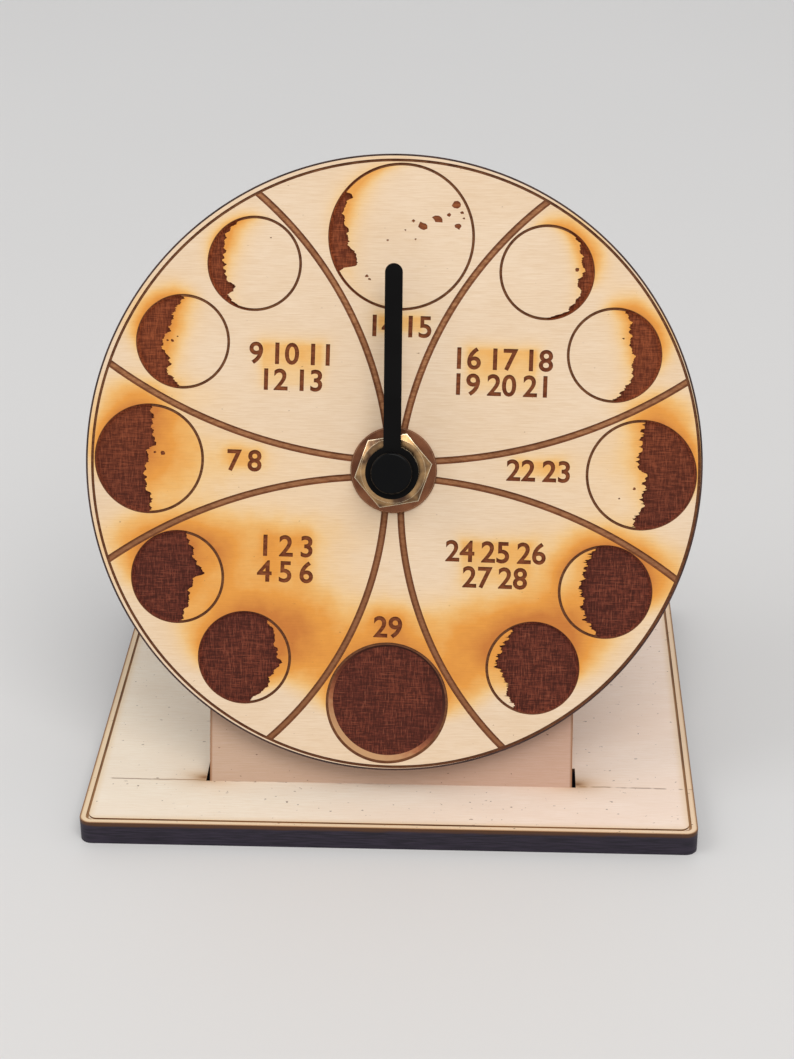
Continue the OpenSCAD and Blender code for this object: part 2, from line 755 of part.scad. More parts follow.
module positive_contact() color("silver") on_axis() {
    translate([bay_end, 0, 0]) battery_contact();
    reach_x = bay_end - board_left - board_w + strip_w;
    translate([bay_end - reach_x, strip_y - strip_w / 2, board_back - contact_t])
        cube([reach_x, strip_w, contact_t]);
}

module negative_contact() color("silver") on_axis() {
    translate([-bay_end, 0, 0]) mirror([1, 0, 0]) battery_contact();
    translate([-bay_end, strip_y - strip_w / 2, board_back - contact_t])
        cube([bay_end + board_left + strip_w, strip_w, contact_t]);
    translate([-bay_end, battery_y, battery_z]) rotate([0, 90, 0])
        cylinder(h = battery_left + bay_end - contact_gap, r = button_r);
}

module battery() color("steelblue") on_axis() {
    translate([battery_left, battery_y, battery_z]) rotate([0, 90, 0]) {
        cylinder(h = battery_len, d = battery_d);
        cylinder(h = battery_len + button_len, r = button_r);
    }
}

// The gear train, from the rotor to the wheel that drives the hand's tube

module rotor_magnet() color("dimgray") at_height(magnet_z - magnet_len)
    translate([rotor_at[0], rotor_at[1], 0]) ring(magnet_r, arbor_r + press_gap, magnet_len);

module rotor_pinion() color("ivory") on_axis() translate([rotor_at[0], rotor_at[1], 0]) {
    arbor(arbor_r);
    translate([0, 0, step_z - gear_t - pinion_over])
        gear(pinion_teeth, rotor_turn, gear_t + 2 * pinion_over);
}

// A wheel and the pinion in front of it on one arbor
module wheel_and_pinion(at, turn, wheel_z, front_z) on_axis() translate([at[0], at[1], 0]) {
    arbor(arbor_r);
    translate([0, 0, wheel_z - gear_t]) gear(wheel_teeth, turn, gear_t);
    translate([0, 0, wheel_z]) gear(pinion_teeth, turn, front_z - wheel_z + pinion_over);
}

module step_wheel() color("ivory") wheel_and_pinion(step_at, step_turn, step_z, transfer_z);

module transfer_wheel() color("antiquewhite")
    wheel_and_pinion(transfer_at, transfer_turn, transfer_z, drive_z);

module drive_wheel() color("linen") at_height(drive_z - gear_t) difference() {
    gear(drive_teeth, drive_turn, gear_t);
    translate([0, 0, -cut]) cylinder(h = gear_t + 2 * cut, r = tube_r + run_play);
}

// The hand and all that turns with it

module hand_tube() color("gold") on_axis() {
    tail = bridge_back + pivot_gap;
    translate([0, 0, tail]) ring(tube_r, tube_r - tube_wall, tube_top - tail);
    translate([0, 0, collar_z - collar_t]) ring(collar_r, tube_r - tube_wall, collar_t);
}

module clutch_washer() color("silver") at_height(clutch_z - clutch_t)
    ring(collar_r, tube_r + press_gap, clutch_t);

module setting_wheel() color("antiquewhite") at_height(set_z - gear_t) difference() {
    gear(set_teeth, set_turn, gear_t);
    translate([0, 0, -cut]) cylinder(h = gear_t + 2 * cut, r = tube_r + press_gap);
}

module moon_hand() color([0.07, 0.07, 0.08]) at_height(hand_z) linear_extrude(hand_t)
    difference() {
        union() {
            circle(hand_eye_r);
            translate([-hand_w / 2, 0]) square([hand_w, hand_len - hand_w / 2]);
            translate([0, hand_len - hand_w / 2]) circle(d = hand_w);
        }
        circle(tube_r + press_gap);
    }

module hand_collet() color("darkgoldenrod") at_height(hand_z - collet_h)
    ring(collet_r, tube_r + press_gap, collet_h);

module hand_cap() color([0.07, 0.07, 0.08]) at_height(cap_z) difference() {
    rotate_extrude() {
        square([cap_r - cap_edge_r, cap_h]);
        square([cap_r, cap_h - cap_edge_r]);
        translate([cap_r - cap_edge_r, cap_h - cap_edge_r]) circle(cap_edge_r);
    }
    translate([0, 0, -cut]) cylinder(h = tube_in_cap + press_gap + cut, r = tube_r + press_gap);
}

// The knob at the back that sets the hand

module setting_pinion() color("ivory") on_axis() translate([knob_at[0], knob_at[1], 0]) {
    translate([0, 0, set_z - gear_t - pinion_over])
        gear(knob_teeth, knob_turn, gear_t + 2 * pinion_over);
    translate([0, 0, case_back - knob_gap - knob_h / 2])
        cylinder(h = magnet_z - case_back + knob_gap + knob_h / 2, r = knob_shaft_r);
}

module setting_knob() color([0.12, 0.12, 0.13]) on_axis()
    translate([knob_at[0], knob_at[1], case_back - knob_gap - knob_h]) difference() {
        cylinder(h = knob_h, r = knob_r);
        translate([0, 0, knob_h / 2 - press_gap]) cylinder(h = knob_h, r = knob_shaft_r + press_gap);
        for (i = [0:knob_grooves - 1]) rotate(i * 360 / knob_grooves)
            translate([knob_r, 0, -cut]) cylinder(h = knob_h + 2 * cut, r = groove_r, $fn = 24);
    }

base_plate();
upright_panel();
dial();
dial_washer();
dial_nut();
threaded_bushing();
rubber_gasket();
movement_case();
rear_cover();
gear_bridge();
bridge_screws();
cover_screws();
circuit_board();
driver_chip();
quartz_crystal();
coil_bobbin();
coil_winding();
coil_core();
stator();
positive_contact();
negative_contact();
rotor_magnet();
rotor_pinion();
step_wheel();
transfer_wheel();
drive_wheel();
hand_tube();
clutch_washer();
setting_wheel();
moon_hand();
hand_collet();
hand_cap();
setting_pinion();
setting_knob();
battery();
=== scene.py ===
"""Looks of the moon phase desk clock: birch plywood, the burnt dial, brass, black plastic."""

import math
import random

import bpy
from mathutils import Matrix, Vector
from mathutils.geometry import delaunay_2d_cdt


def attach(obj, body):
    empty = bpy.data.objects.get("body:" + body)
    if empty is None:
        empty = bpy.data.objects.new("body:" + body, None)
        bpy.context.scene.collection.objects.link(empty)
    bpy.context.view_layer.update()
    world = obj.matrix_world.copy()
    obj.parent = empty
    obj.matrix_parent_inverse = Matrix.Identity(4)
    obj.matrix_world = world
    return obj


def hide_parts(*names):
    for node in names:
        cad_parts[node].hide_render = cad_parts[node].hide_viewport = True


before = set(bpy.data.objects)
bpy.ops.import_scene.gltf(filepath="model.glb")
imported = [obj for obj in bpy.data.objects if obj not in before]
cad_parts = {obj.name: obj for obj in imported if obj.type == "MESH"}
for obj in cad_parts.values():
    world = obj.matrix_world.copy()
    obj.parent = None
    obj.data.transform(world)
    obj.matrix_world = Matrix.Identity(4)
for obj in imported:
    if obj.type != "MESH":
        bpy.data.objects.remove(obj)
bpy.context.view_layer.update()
MM = 0.001

# The panel leans back by RECLINE, and its front face starts at FOOT on the base.
RECLINE = math.radians(22.4)
FOOT = Vector((0, -27.2 * MM, 4 * MM))
DIAL_UP = 53.1
TILT = math.radians(90) - RECLINE
PANEL = Matrix.Translation(FOOT) @ Matrix.Rotation(TILT, 4, "X")
DIAL = PANEL @ Matrix.Translation((0, DIAL_UP * MM, 0))

# The dial and its engraving, in mm. Heights are above the dial's back, and PLY_T is the thickness of
# one of its three plies. The face is charred outside CHAR_R.
DIAL_R = 50
DIAL_T = 4
PLY_T = 1.34
CHAR_R = 49.7
BORE_R = 4.2
BORE_AT = (0.2, -0.7)
# The engraving sits a little off the plate's centre, and is turned a little.
ART_SHIFT = (0.26, -0.2)
ART_TURN = math.radians(-1.2)
RING_R = 49.2
LINE_W = 0.45
RIM_STEPS = 360
MOON_STEPS = 128
BORE_STEPS = 64

FACE_Z = DIAL_T
SPECK_Z = DIAL_T - 0.15
LINE_Z = DIAL_T - 0.3
DIGIT_Z = DIAL_T - 0.35
POCKET_Z = DIAL_T - 0.75

# Bands that divide the fields. Each is an arc that touches a line beside the dial's middle, mirrored
# left and right: radius, distance of the line from the middle, place along it where the arc touches
# it, and where the band lies. BAND_EDGE is the width of the darker edges.
BAND_W = 1.15
BAND_EDGE = 0.33
BAND_START = 6
BAND_STEPS = 28
BANDS = (
    (61.5, 0.5, -4.5, "up"),
    (56, 1.2, 4.2, "down"),
    (83, 0.9, 0, "over"),
    (78.5, 1.65, 0, "under"),
)

# A moon's dark part is a pocket with a slope along its arc. ARC_OUT is how far the pocket laps over
# the middle of the moon's outline. The new moon's slope lies inside the outline, and its floor is
# shifted up, so that it is wider at its foot. NEW_LAP is how far it reaches under the outline, and
# points further in than NEW_LIP are at full depth.
ARC_OUT = 0.12
SLOPE_W = 0.45
NEW_SLOPE_W = 0.6
NEW_SHIFT = (0.1, 0.26)
NEW_LAP = 0.04
NEW_LIP = LINE_W + 0.1

QUARTER_R = 8.95
# The small moons lie on a circle, at these angles from the upright line.
SMALL_R = 7.65
SMALL_OUT = 39.75
NEAR = math.radians(36.3)
FAR = math.radians(61.2)


class Moon:
    """One moon: its dark share and side (-1 left, 1 right), and the scorch on its light part and
    outside its dark part, each as a strength and a reach in mm."""

    def __init__(self, name, centre, r, dark, side, inside, outside):
        self.name = name
        self.centre = centre
        self.r = r
        self.dark = dark
        self.side = side
        self.inside = inside
        self.outside = outside


def beside(angle, side, up):
    """Centre of a small moon: its angle from the upright line, and the side and height it is on."""
    return side * SMALL_OUT * math.sin(angle), up * SMALL_OUT * math.cos(angle)


MOONS = (
    Moon("full", (0, 37), 11.8, 0.1, -1, (0.5, 2.4), (0.22, 2.0)),
    Moon("gib_in_l", beside(NEAR, -1, 1), SMALL_R, 0.17, -1, (0.62, 2.2), (0.42, 1.3)),
    Moon("gib_out_l", beside(FAR, -1, 1), SMALL_R, 0.33, -1, (0.95, 2.4), (0.75, 1.7)),
    Moon("quarter_l", (-39.9, 0), QUARTER_R, 0.5, -1, (1.0, 4.2), (0.75, 1.8)),
    Moon("cres_out_l", beside(FAR, -1, -1), SMALL_R, 0.64, -1, (0.85, 3.2), (0.62, 2.4)),
    Moon("cres_in_l", beside(NEAR, -1, -1), SMALL_R, 0.82, -1, (0.9, 3.2), (0.7, 2.6)),
    Moon("new", (0, -38.7), 10, 1, -1, (0, 1), (0.6, 2.2)),
    Moon("cres_in_r", beside(NEAR, 1, -1), SMALL_R, 0.82, 1, (0.5, 2.6), (0.8, 2.6)),
    Moon("cres_out_r", beside(FAR, 1, -1), SMALL_R, 0.72, 1, (0.45, 2.4), (0.8, 2.0)),
    Moon("quarter_r", (39.9, 0), QUARTER_R, 0.5, 1, (0.5, 2.6), (0.85, 1.8)),
    Moon("gib_out_r", beside(FAR, 1, 1), SMALL_R, 0.3, 1, (0.6, 2.2), (0.8, 1.9)),
    Moon("gib_in_r", beside(NEAR, 1, 1), SMALL_R, 0.13, 1, (0.5, 1.6), (0.75, 1.7)),
)
# The edge of the light, from the top down, for a moon dark on the left: height and place in shares
# of its radius. A moon that is dark on the right has it mirrored.
EDGES = {
    "full": (
        (0.6, -0.8), (0.57, -0.7), (0.46, -0.79), (0.26, -0.82), (0.03, -0.745), (-0.14, -0.715),
        (-0.31, -0.63), (-0.42, -0.6), (-0.46, -0.8), (-0.5, -0.86),
    ),
    "gib_in_l": (
        (0.95, -0.36), (0.63, -0.62), (0.19, -0.69), (-0.07, -0.65), (-0.33, -0.6), (-0.55, -0.45),
        (-0.73, -0.53), (-0.93, -0.34), (-1, -0.1),
    ),
    "gib_out_l": (
        (0.97, -0.07), (0.6, -0.22), (0.25, -0.3), (0.12, -0.43), (-0.1, -0.43), (-0.5, -0.26),
        (-0.6, -0.37), (-0.95, -0.08),
    ),
    "quarter_l": ((0.98, 0.04), (0.7, 0.02), (0.3, 0.1), (0.1, -0.05), (-0.3, -0.07), (-0.98, 0.06)),
    "cres_out_l": (
        (0.97, 0.18), (0.6, 0.3), (0.35, 0.4), (0.12, 0.57), (-0.08, 0.32), (-0.5, 0.26), (-0.96, 0.1),
    ),
    "cres_in_l": (
        (0.85, 0.5), (0.5, 0.65), (0.15, 0.71), (-0.1, 0.79), (-0.3, 0.66), (-0.6, 0.52), (-0.97, 0.15),
    ),
    "cres_in_r": (
        (0.87, 0.46), (0.6, 0.55), (0.35, 0.74), (0.05, 0.78), (-0.15, 0.62), (-0.5, 0.54), (-0.9, 0.38),
    ),
    "cres_out_r": (
        (0.94, 0.22), (0.65, 0.42), (0.35, 0.45), (0.1, 0.56), (-0.2, 0.47), (-0.55, 0.42), (-0.96, 0.16),
    ),
    "quarter_r": ((0.97, -0.02), (0.4, 0.02), (0.15, 0.07), (0, -0.09), (-0.5, -0.06), (-0.95, 0.1)),
    "gib_out_r": (
        (0.96, -0.2), (0.65, -0.34), (0.2, -0.34), (-0.05, -0.43), (-0.4, -0.41), (-0.9, -0.16),
        (-0.98, -0.04),
    ),
    "gib_in_r": (
        (0.93, -0.46), (0.59, -0.7), (0.28, -0.74), (0.02, -0.8), (-0.15, -0.69), (-0.46, -0.72),
        (-0.8, -0.5), (-0.98, -0.11),
    ),
}
# How far the edge of the light is feathered, wanders, jitters and stays off the outline, in mm
FEATHERS = {
    "full": 0.3, "gib_out_l": 0.35, "gib_out_r": 0.35, "quarter_l": 0.35, "quarter_r": 0.75,
    "cres_in_r": 0.75, "cres_out_r": 0.8,
}
FEATHER = 0.15
WANDER = 0.16
JITTER = 0.12
EDGE_ROOM = 0.25
# The waves that the edge wanders in, and their phases; the pace and the sway of its feathers
WAVES = (6, 11, 17, 29)
WAVE_PACE = 1.5
PHASES = 6.28
FEATHER_PACE = 30
FEATHER_SWAY = 2.2
EDGE_STEPS = 190
ARC_STEPS = 96

# Blots on the light part of a moon: place from its centre and size, in mm
SPECKS = {
    "full": (
        (3.4, 1.9, 0.68), (1.8, 2.6, 0.26), (5.7, 3.0, 0.76), (7.5, 3.7, 0.34), (8.7, 5.4, 0.62),
        (9.6, 4.1, 0.28), (9.1, 1.9, 0.5), (9.9, 3.2, 0.18), (0.6, 1.1, 0.16), (2.3, -0.3, 0.16),
        (-5.4, -6.4, 0.3), (-4.9, -6.9, 0.22), (-2.2, -0.6, 0.16), (-7.2, -4.6, 0.22),
    ),
    "gib_in_l": ((2.5, 4.2, 0.12), (-3.9, -3.3, 0.2)),
    "gib_out_l": ((-1.7, 0.1, 0.28), (-2.5, 0.1, 0.2), (-0.9, 0.8, 0.14)),
    "quarter_l": ((2.2, 1.0, 0.38), (0.9, 1.1, 0.2)),
    "quarter_r": ((-1.0, -2.2, 0.24), (-3.4, -3.9, 0.16)),
    "gib_out_r": ((1.3, 2.7, 0.16),),
    "gib_in_r": ((4.8, 0.6, 0.32),),
}
SPECK_POINTS = 9
SPECK_RAGGED = (0.55, 1.1)
SPECK_STRETCH = 1.3

# Plain lunar days at each label's place: text lines, centre of the label in mm
LABELS = (
    (("9 10 11", "12 13"), (-17.1, 15.6)),
    (("16 17 18", "19 20 21"), (16.9, 15.8)),
    (("7 8",), (-24.4, 0.2)),
    (("22 23",), (23.4, 0.1)),
    (("1 2 3", "4 5 6"), (-17.2, -15.6)),
    (("24 25 26", "27 28"), (16.9, -15.4)),
    (("14 15",), (0.2, 22.7)),
    (("29",), (-0.2, -26.2)),
)
DIGIT_SIZE = 4.8
DIGIT_PITCH = 4.2
DIGIT_FATTEN = 0.1
DIGIT_SPACE = 0.75
DIGIT_CURVE_STEPS = 5
# The scorch round a label: half its width for LABEL_SIGNS signs, half its height for one line, its
# height above the digits' middle, and its reach
LABEL_SIGNS = 8
LABEL_HALF_W = 5.2
LABEL_HALF_H = 1.0
LABEL_RISE = 0.3
LABEL_REACH = 1.5

# The seed of all random draws, and how close points of crossing outlines count as one, in mm
SEED = 14
JOIN_WITHIN = 1e-5


# Node materials

def lin(r, g, b):
    """A colour given as 0 to 255 screen values, as the linear colour that a shader takes."""
    def one(v):
        v /= 255
        return v / 12.92 if v <= 0.04045 else ((v + 0.055) / 1.055) ** 2.4
    return one(r), one(g), one(b), 1.0


BEVEL_SAMPLES = 8
# Cosines between a face and its rounded edge: where the painted edge highlight starts, and where it is
# full
EDGE_COSINES = (0.995, 0.93)
COAT_ROUGH = 0.15


class Graph:
    """The node tree of one material, with a short call for each kind of node."""

    def __init__(self, name, frame_of=None):
        self.mat = bpy.data.materials.new(name)
        self.mat.use_nodes = True
        self.tree = self.mat.node_tree
        self.tree.nodes.clear()
        out = self.tree.nodes.new("ShaderNodeOutputMaterial")
        self.bsdf = self.tree.nodes.new("ShaderNodeBsdfPrincipled")
        self.tree.links.new(self.bsdf.outputs[0], out.inputs[0])
        coord = self.tree.nodes.new("ShaderNodeTexCoord")
        point = coord.outputs["Object"]
        self.normal = coord.outputs["Normal"]
        if frame_of is not None:
            point = self.into(point, frame_of, True)
            self.normal = self.into(self.normal, frame_of, False)
        self.mm = self.vector("SCALE", point, scale=1 / MM)
        split = self.tree.nodes.new("ShaderNodeSeparateXYZ")
        self.put(split.inputs[0], self.mm)
        self.x, self.y, self.z = split.outputs

    def into(self, point, matrix, with_place):
        """A world vector in the frame that the matrix gives."""
        node = self.tree.nodes.new("ShaderNodeMapping")
        node.vector_type = "TEXTURE"
        if with_place:
            node.inputs["Location"].default_value = matrix.to_translation()
        node.inputs["Rotation"].default_value = matrix.to_euler()
        self.put(node.inputs["Vector"], point)
        return node.outputs[0]

    def put(self, socket, value):
        if isinstance(value, bpy.types.NodeSocket):
            self.tree.links.new(value, socket)
        else:
            socket.default_value = value

    def math(self, kind, a, b=None):
        node = self.tree.nodes.new("ShaderNodeMath")
        node.operation = kind
        self.put(node.inputs[0], a)
        if b is not None:
            self.put(node.inputs[1], b)
        return node.outputs[0]

    def add(self, a, b):
        return self.math("ADD", a, b)

    def sub(self, a, b):
        return self.math("SUBTRACT", a, b)

    def mul(self, a, b):
        return self.math("MULTIPLY", a, b)

    def hypot(self, a, b):
        return self.math("SQRT", self.add(self.mul(a, a), self.mul(b, b)))

    def fade(self, away, reach):
        """1 where away is 0 or less, falling off as away grows."""
        return self.math("EXPONENT", self.mul(self.math("MAXIMUM", away, 0.0), -1 / reach))

    def vector(self, kind, a, b=None, scale=None):
        node = self.tree.nodes.new("ShaderNodeVectorMath")
        node.operation = kind
        self.put(node.inputs[0], a)
        if b is not None:
            self.put(node.inputs[1], b)
        if scale is not None:
            self.put(node.inputs["Scale"], scale)
        return node.outputs[0]

    def step(self, value, low, high, to_low=0.0, to_high=1.0):
        """A smooth step of value from low to high."""
        node = self.tree.nodes.new("ShaderNodeMapRange")
        node.interpolation_type = "SMOOTHSTEP"
        self.put(node.inputs["Value"], value)
        self.put(node.inputs["From Min"], low)
        self.put(node.inputs["From Max"], high)
        self.put(node.inputs["To Min"], to_low)
        self.put(node.inputs["To Max"], to_high)
        return node.outputs[0]

    def noise(self, stretch, detail=3.0, rough=0.5, shift=0.0):
        """Noise over millimetres: stretch is the size of its marks along x, y and z."""
        node = self.tree.nodes.new("ShaderNodeTexNoise")
        per_mm = tuple(1 / s for s in stretch)
        point = self.vector("MULTIPLY", self.mm, per_mm)
        if shift:
            point = self.vector("ADD", point, (shift, shift, shift))
        self.put(node.inputs["Vector"], point)
        node.inputs["Scale"].default_value = 1.0
        node.inputs["Detail"].default_value = detail
        node.inputs["Roughness"].default_value = rough
        return node.outputs[0]

    def ramp(self, value, stops):
        node = self.tree.nodes.new("ShaderNodeValToRGB")
        band = node.color_ramp
        while len(band.elements) < len(stops):
            band.elements.new(0.5)
        for element, (place, colour) in zip(band.elements, stops):
            element.position = place
            element.color = colour
        self.put(node.inputs[0], value)
        return node.outputs[0]

    def mix(self, share, a, b, kind="MIX"):
        node = self.tree.nodes.new("ShaderNodeMix")
        node.data_type = "RGBA"
        node.blend_type = kind
        self.put(node.inputs[0], share)
        self.put(node.inputs[6], a)
        self.put(node.inputs[7], b)
        return node.outputs[2]

    def near_edge(self, reach):
        """1 on the sharp edges of the mesh, falling to 0 at reach mm from them."""
        rounded = self.tree.nodes.new("ShaderNodeBevel")
        rounded.samples = BEVEL_SAMPLES
        rounded.inputs["Radius"].default_value = reach * MM
        flat = self.tree.nodes.new("ShaderNodeNewGeometry").outputs["Normal"]
        node = self.tree.nodes.new("ShaderNodeVectorMath")
        node.operation = "DOT_PRODUCT"
        self.put(node.inputs[0], rounded.outputs[0])
        self.put(node.inputs[1], flat)
        return self.step(node.outputs["Value"], *EDGE_COSINES)

    def bump(self, height, depth_mm, strength=1.0):
        node = self.tree.nodes.new("ShaderNodeBump")
        node.inputs["Strength"].default_value = strength
        node.inputs["Distance"].default_value = depth_mm * MM
        self.put(node.inputs["Height"], height)
        self.put(self.bsdf.inputs["Normal"], node.outputs[0])

    def finish(self, colour, rough, metal=0.0, specular=0.5, coat=0.0):
        self.put(self.bsdf.inputs["Base Color"], colour)
        self.put(self.bsdf.inputs["Roughness"], rough)
        self.bsdf.inputs["Metallic"].default_value = metal
        self.bsdf.inputs["Specular IOR Level"].default_value = specular
        self.bsdf.inputs["Coat Weight"].default_value = coat
        self.bsdf.inputs["Coat Roughness"].default_value = COAT_ROUGH
        return self.mat


CREAM = lin(238, 213, 184)
CREAM_DARK = lin(229, 200, 166)
AMBER_PALE = lin(242, 194, 118)
AMBER = lin(230, 154, 62)
AMBER_DEEP = lin(200, 120, 46)
BURNT = lin(150, 70, 28)
CHAR = lin(52, 36, 33)
CHAR_BROWN = lin(84, 54, 44)
LINE_BROWN = lin(118, 70, 38)


def wood_grain(g):
    """Fine streaks along x, as (streaks, cloudy patches)."""
    streaks = g.noise((5, 0.18, 0.5), 4.0, 0.6)
    fibres = g.noise((1.6, 0.08, 0.3), 2.0, 0.5, 7.0)
    cloud = g.noise((16, 9, 9), 2.0, 0.5, 3.0)
    both = g.add(g.mul(streaks, 0.65), g.mul(fibres, 0.35))
    return both, cloud


def in_art(g):
    """x and y of the dial in the turned and shifted frame of its engraving."""
    px = g.sub(g.x, ART_SHIFT[0])
    py = g.sub(g.y, ART_SHIFT[1])
    c, s = math.cos(ART_TURN), math.sin(ART_TURN)
    return g.add(g.mul(px, c), g.mul(py, s)), g.sub(g.mul(py, c), g.mul(px, s))


# Broad scorch marks: centre, width and height in mm, strength
SCORCHES = (
    ((-20, -22), 17, 7, 0.28),
    ((-16, -28), 7, 6, 0.46),
    ((-20, -11), 17, 5, 0.2),
    ((-28, -14), 6, 4, 0.2),
    ((-12, -34), 6, 8, 0.2),
    ((-17, -1), 16, 5, 0.1),
    ((-34, 0), 8, 9, 0.2),
    ((20, -25), 15, 5, 0.3),
    ((13, -33), 5, 8, 0.42),
    ((30, -24), 7, 5, 0.35),
    ((43, -16), 6, 5, 0.3),
    ((32, -12), 9, 6, 0.16),
    ((-43, 10), 6, 4, 0.22),
    ((-36, 11), 9, 3, 0.12),
    ((42, 11), 7, 3.5, 0.3),
    ((34, 1), 7, 6, 0.1),
    ((-42, -13), 7, 4, 0.26),
    ((0, -27), 8, 4, 0.24),
    ((-24, -44), 14, 5, -0.5),
    ((24, -44), 13, 5, -0.45),
)


def moon_scorch(g, x, y, moon):
    """The scorch of one moon, as (on its light part next to the dark one, outside and mostly above)."""
    r = moon.r
    px = g.sub(x, moon.centre[0])
    py = g.sub(y, moon.centre[1])
    in_much, in_reach = moon.inside
    out_much, out_reach = moon.outside
    away = g.sub(g.hypot(px, py), r)
    half = g.math("SQRT", g.math("MAXIMUM", g.sub(r * r, g.mul(py, py)), 0.0))
    past_edge = g.sub(g.mul(half, 1 - 2 * moon.dark), g.mul(px, moon.side))
    higher = g.step(py, -0.9 * r, 0.5 * r, 0.2, 1.0)
    inside = g.mul(g.mul(g.fade(past_edge, in_reach), in_much), higher)
    above = g.step(py, -0.75 * r, 0.65 * r)
    facing = g.step(g.mul(px, moon.side), -0.7 * r, 0.5 * r) if moon.dark < 0.6 else 1.0
    outside = g.mul(g.mul(g.mul(g.fade(away, out_reach), facing), above), out_much)
    is_in = g.math("LESS_THAN", away, 0.0)
    return g.mul(inside, is_in), g.mul(outside, g.sub(1.0, is_in))


def scorch_field(g):
    """How much the dial is scorched at a point: above and beside burnt parts, and in broad marks."""
    x, y = in_art(g)
    total = 0.0
    ragged = g.noise((3, 3, 3), 3.0, 0.6, 11.0)
    for moon in MOONS:
        inner, outer = moon_scorch(g, x, y, moon)
        total = g.add(g.add(total, inner), outer)
    for lines, (cx, cy) in LABELS:
        half_w = LABEL_HALF_W * max(len(line) for line in lines) / LABEL_SIGNS
        half_h = LABEL_HALF_H + (len(lines) - 1) * DIGIT_PITCH / 2
        qx = g.math("MAXIMUM", g.sub(g.math("ABSOLUTE", g.sub(x, cx)), half_w), 0.0)
        qy = g.math("MAXIMUM", g.sub(g.math("ABSOLUTE", g.sub(y, cy + LABEL_RISE)), half_h), 0.0)
        near = g.fade(g.hypot(qx, qy), LABEL_REACH)
        total = g.add(total, g.mul(near, g.step(y, cy - half_h - 1.5, cy + half_h, 0.16, 0.36)))
    for (cx, cy), w, h, much in SCORCHES:
        dx = g.mul(g.sub(x, cx), 1 / w)
        dy = g.mul(g.sub(y, cy), 1 / h)
        fall = g.math("EXPONENT", g.mul(g.add(g.mul(dx, dx), g.mul(dy, dy)), -1.0))
        total = g.add(total, g.mul(fall, much))
    return g.mul(g.math("MAXIMUM", total, 0.0), g.add(0.8, g.mul(ragged, 0.7)))


def dial_face():
    """The dial's clean wood, golden to deep amber where it is scorched."""
    g = Graph("Birch_Dial_Face")
    grain, cloud = wood_grain(g)
    scorch = scorch_field(g)
    pale = g.mix(g.step(grain, 0.35, 0.62), CREAM_DARK, CREAM)
    pale = g.mix(g.step(cloud, 0.3, 0.7), g.mix(1.0, pale, (0.97, 0.95, 0.92, 1), "MULTIPLY"), pale)
    stops = ((0.0, AMBER_PALE), (0.22, AMBER_PALE), (0.55, AMBER), (1.0, AMBER_DEEP))
    burnt = g.ramp(g.mul(scorch, 0.85), stops)
    burnt = g.mix(g.step(grain, 0.3, 0.6, 0.12, 0.0), burnt, BURNT)
    colour = g.mix(g.step(scorch, 0.0, 0.45), pale, burnt)
    fleck = g.noise((1.1, 0.5, 0.5), 2.0, 0.5, 23.0)
    colour = g.mix(g.step(fleck, 0.73, 0.8, 0.0, 0.55), colour, LINE_BROWN)
    g.bump(grain, 0.05, 0.5)
    return g.finish(colour, g.step(grain, 0.3, 0.7, 0.62, 0.5), specular=0.35)


def engraved(name, light, dark, low_dark=0.0):
    """A burnt line or letter: two browns in fine marks, darker towards the dial's foot by low_dark."""
    g = Graph(name)
    fine = g.noise((1.4, 0.5, 0.5), 4.0, 0.65, 5.0)
    broad = g.noise((14, 14, 14), 1.0, 0.5, 2.0)
    colour = g.mix(g.step(fine, 0.3, 0.7), dark, light)
    if low_dark:
        colour = g.mix(g.step(g.y, 20.0, -28.0, 0.0, low_dark), colour, dark)
    colour = g.mix(g.step(broad, 0.35, 0.7, 0.0, 0.35), colour, dark)
    g.bump(fine, 0.06, 0.6)
    return g.finish(colour, g.step(fine, 0.3, 0.7, 0.75, 0.6), specular=0.25)


def pocket_floor(name, paler):
    """The burnt floor of a moon's dark part: a woven crosshatch of laser strokes."""
    g = Graph(name)
    across = g.noise((1.8, 0.15, 0.5), 3.0, 0.6, 1.0)
    down = g.noise((0.17, 1.4, 0.5), 3.0, 0.6, 4.0)
    weave = g.add(g.mul(across, 0.5), g.mul(down, 0.5))
    broad = g.noise((9, 9, 9), 2.0, 0.5, 9.0)
    brown = g.mix(g.step(broad, 0.3, 0.7), lin(124, 54, 32), lin(106, 42, 25))
    colour = g.mix(g.step(weave, 0.4, 0.66), lin(64, 23, 12), brown)
    threads = g.math("MAXIMUM", g.step(across, 0.6, 0.72), g.step(down, 0.58, 0.7))
    colour = g.mix(g.mul(threads, 0.35), colour, lin(146, 88, 62))
    higher = g.step(g.y, -20.0, 25.0)
    upper = g.mix(g.step(weave, 0.38, 0.64), lin(98, 40, 14), lin(156, 78, 36))
    colour = g.mix(g.mul(higher, 0.75), colour, upper)
    colour = g.vector("MULTIPLY", colour, (paler,) * 3)
    g.bump(weave, 0.16, 0.8)
    return g.finish(colour, g.step(weave, 0.4, 0.6, 0.8, 0.62), specular=0.25)


def slope_painted_light():
    """The new moon's burnt slope with painted light: painted shade above and at the right, and a painted
    lit tan at the lower left.
    """
    g = Graph("Birch_Burnt_Pale_Slope")
    mx, my = next(centre_of(moon) for moon in MOONS if moon.name == "new")
    fine = g.noise((0.8, 0.8, 0.8), 4.0, 0.65, 5.0)
    # This gradient runs from the painted lit lower left to the painted shade at the upper right.
    height = g.add(g.mul(g.sub(g.x, mx), 0.055), g.mul(g.sub(g.y, my), 0.085))
    height = g.add(height, g.mul(g.sub(fine, 0.5), 0.5))
    stops = (
        (0.0, lin(196, 150, 106)), (0.22, lin(168, 102, 66)), (0.5, lin(112, 54, 34)),
        (1.0, lin(62, 30, 22)),
    )
    colour = g.ramp(g.step(height, -0.9, 0.75), stops)
    g.bump(fine, 0.06, 0.6)
    return g.finish(colour, g.step(fine, 0.3, 0.7, 0.75, 0.6), specular=0.25)


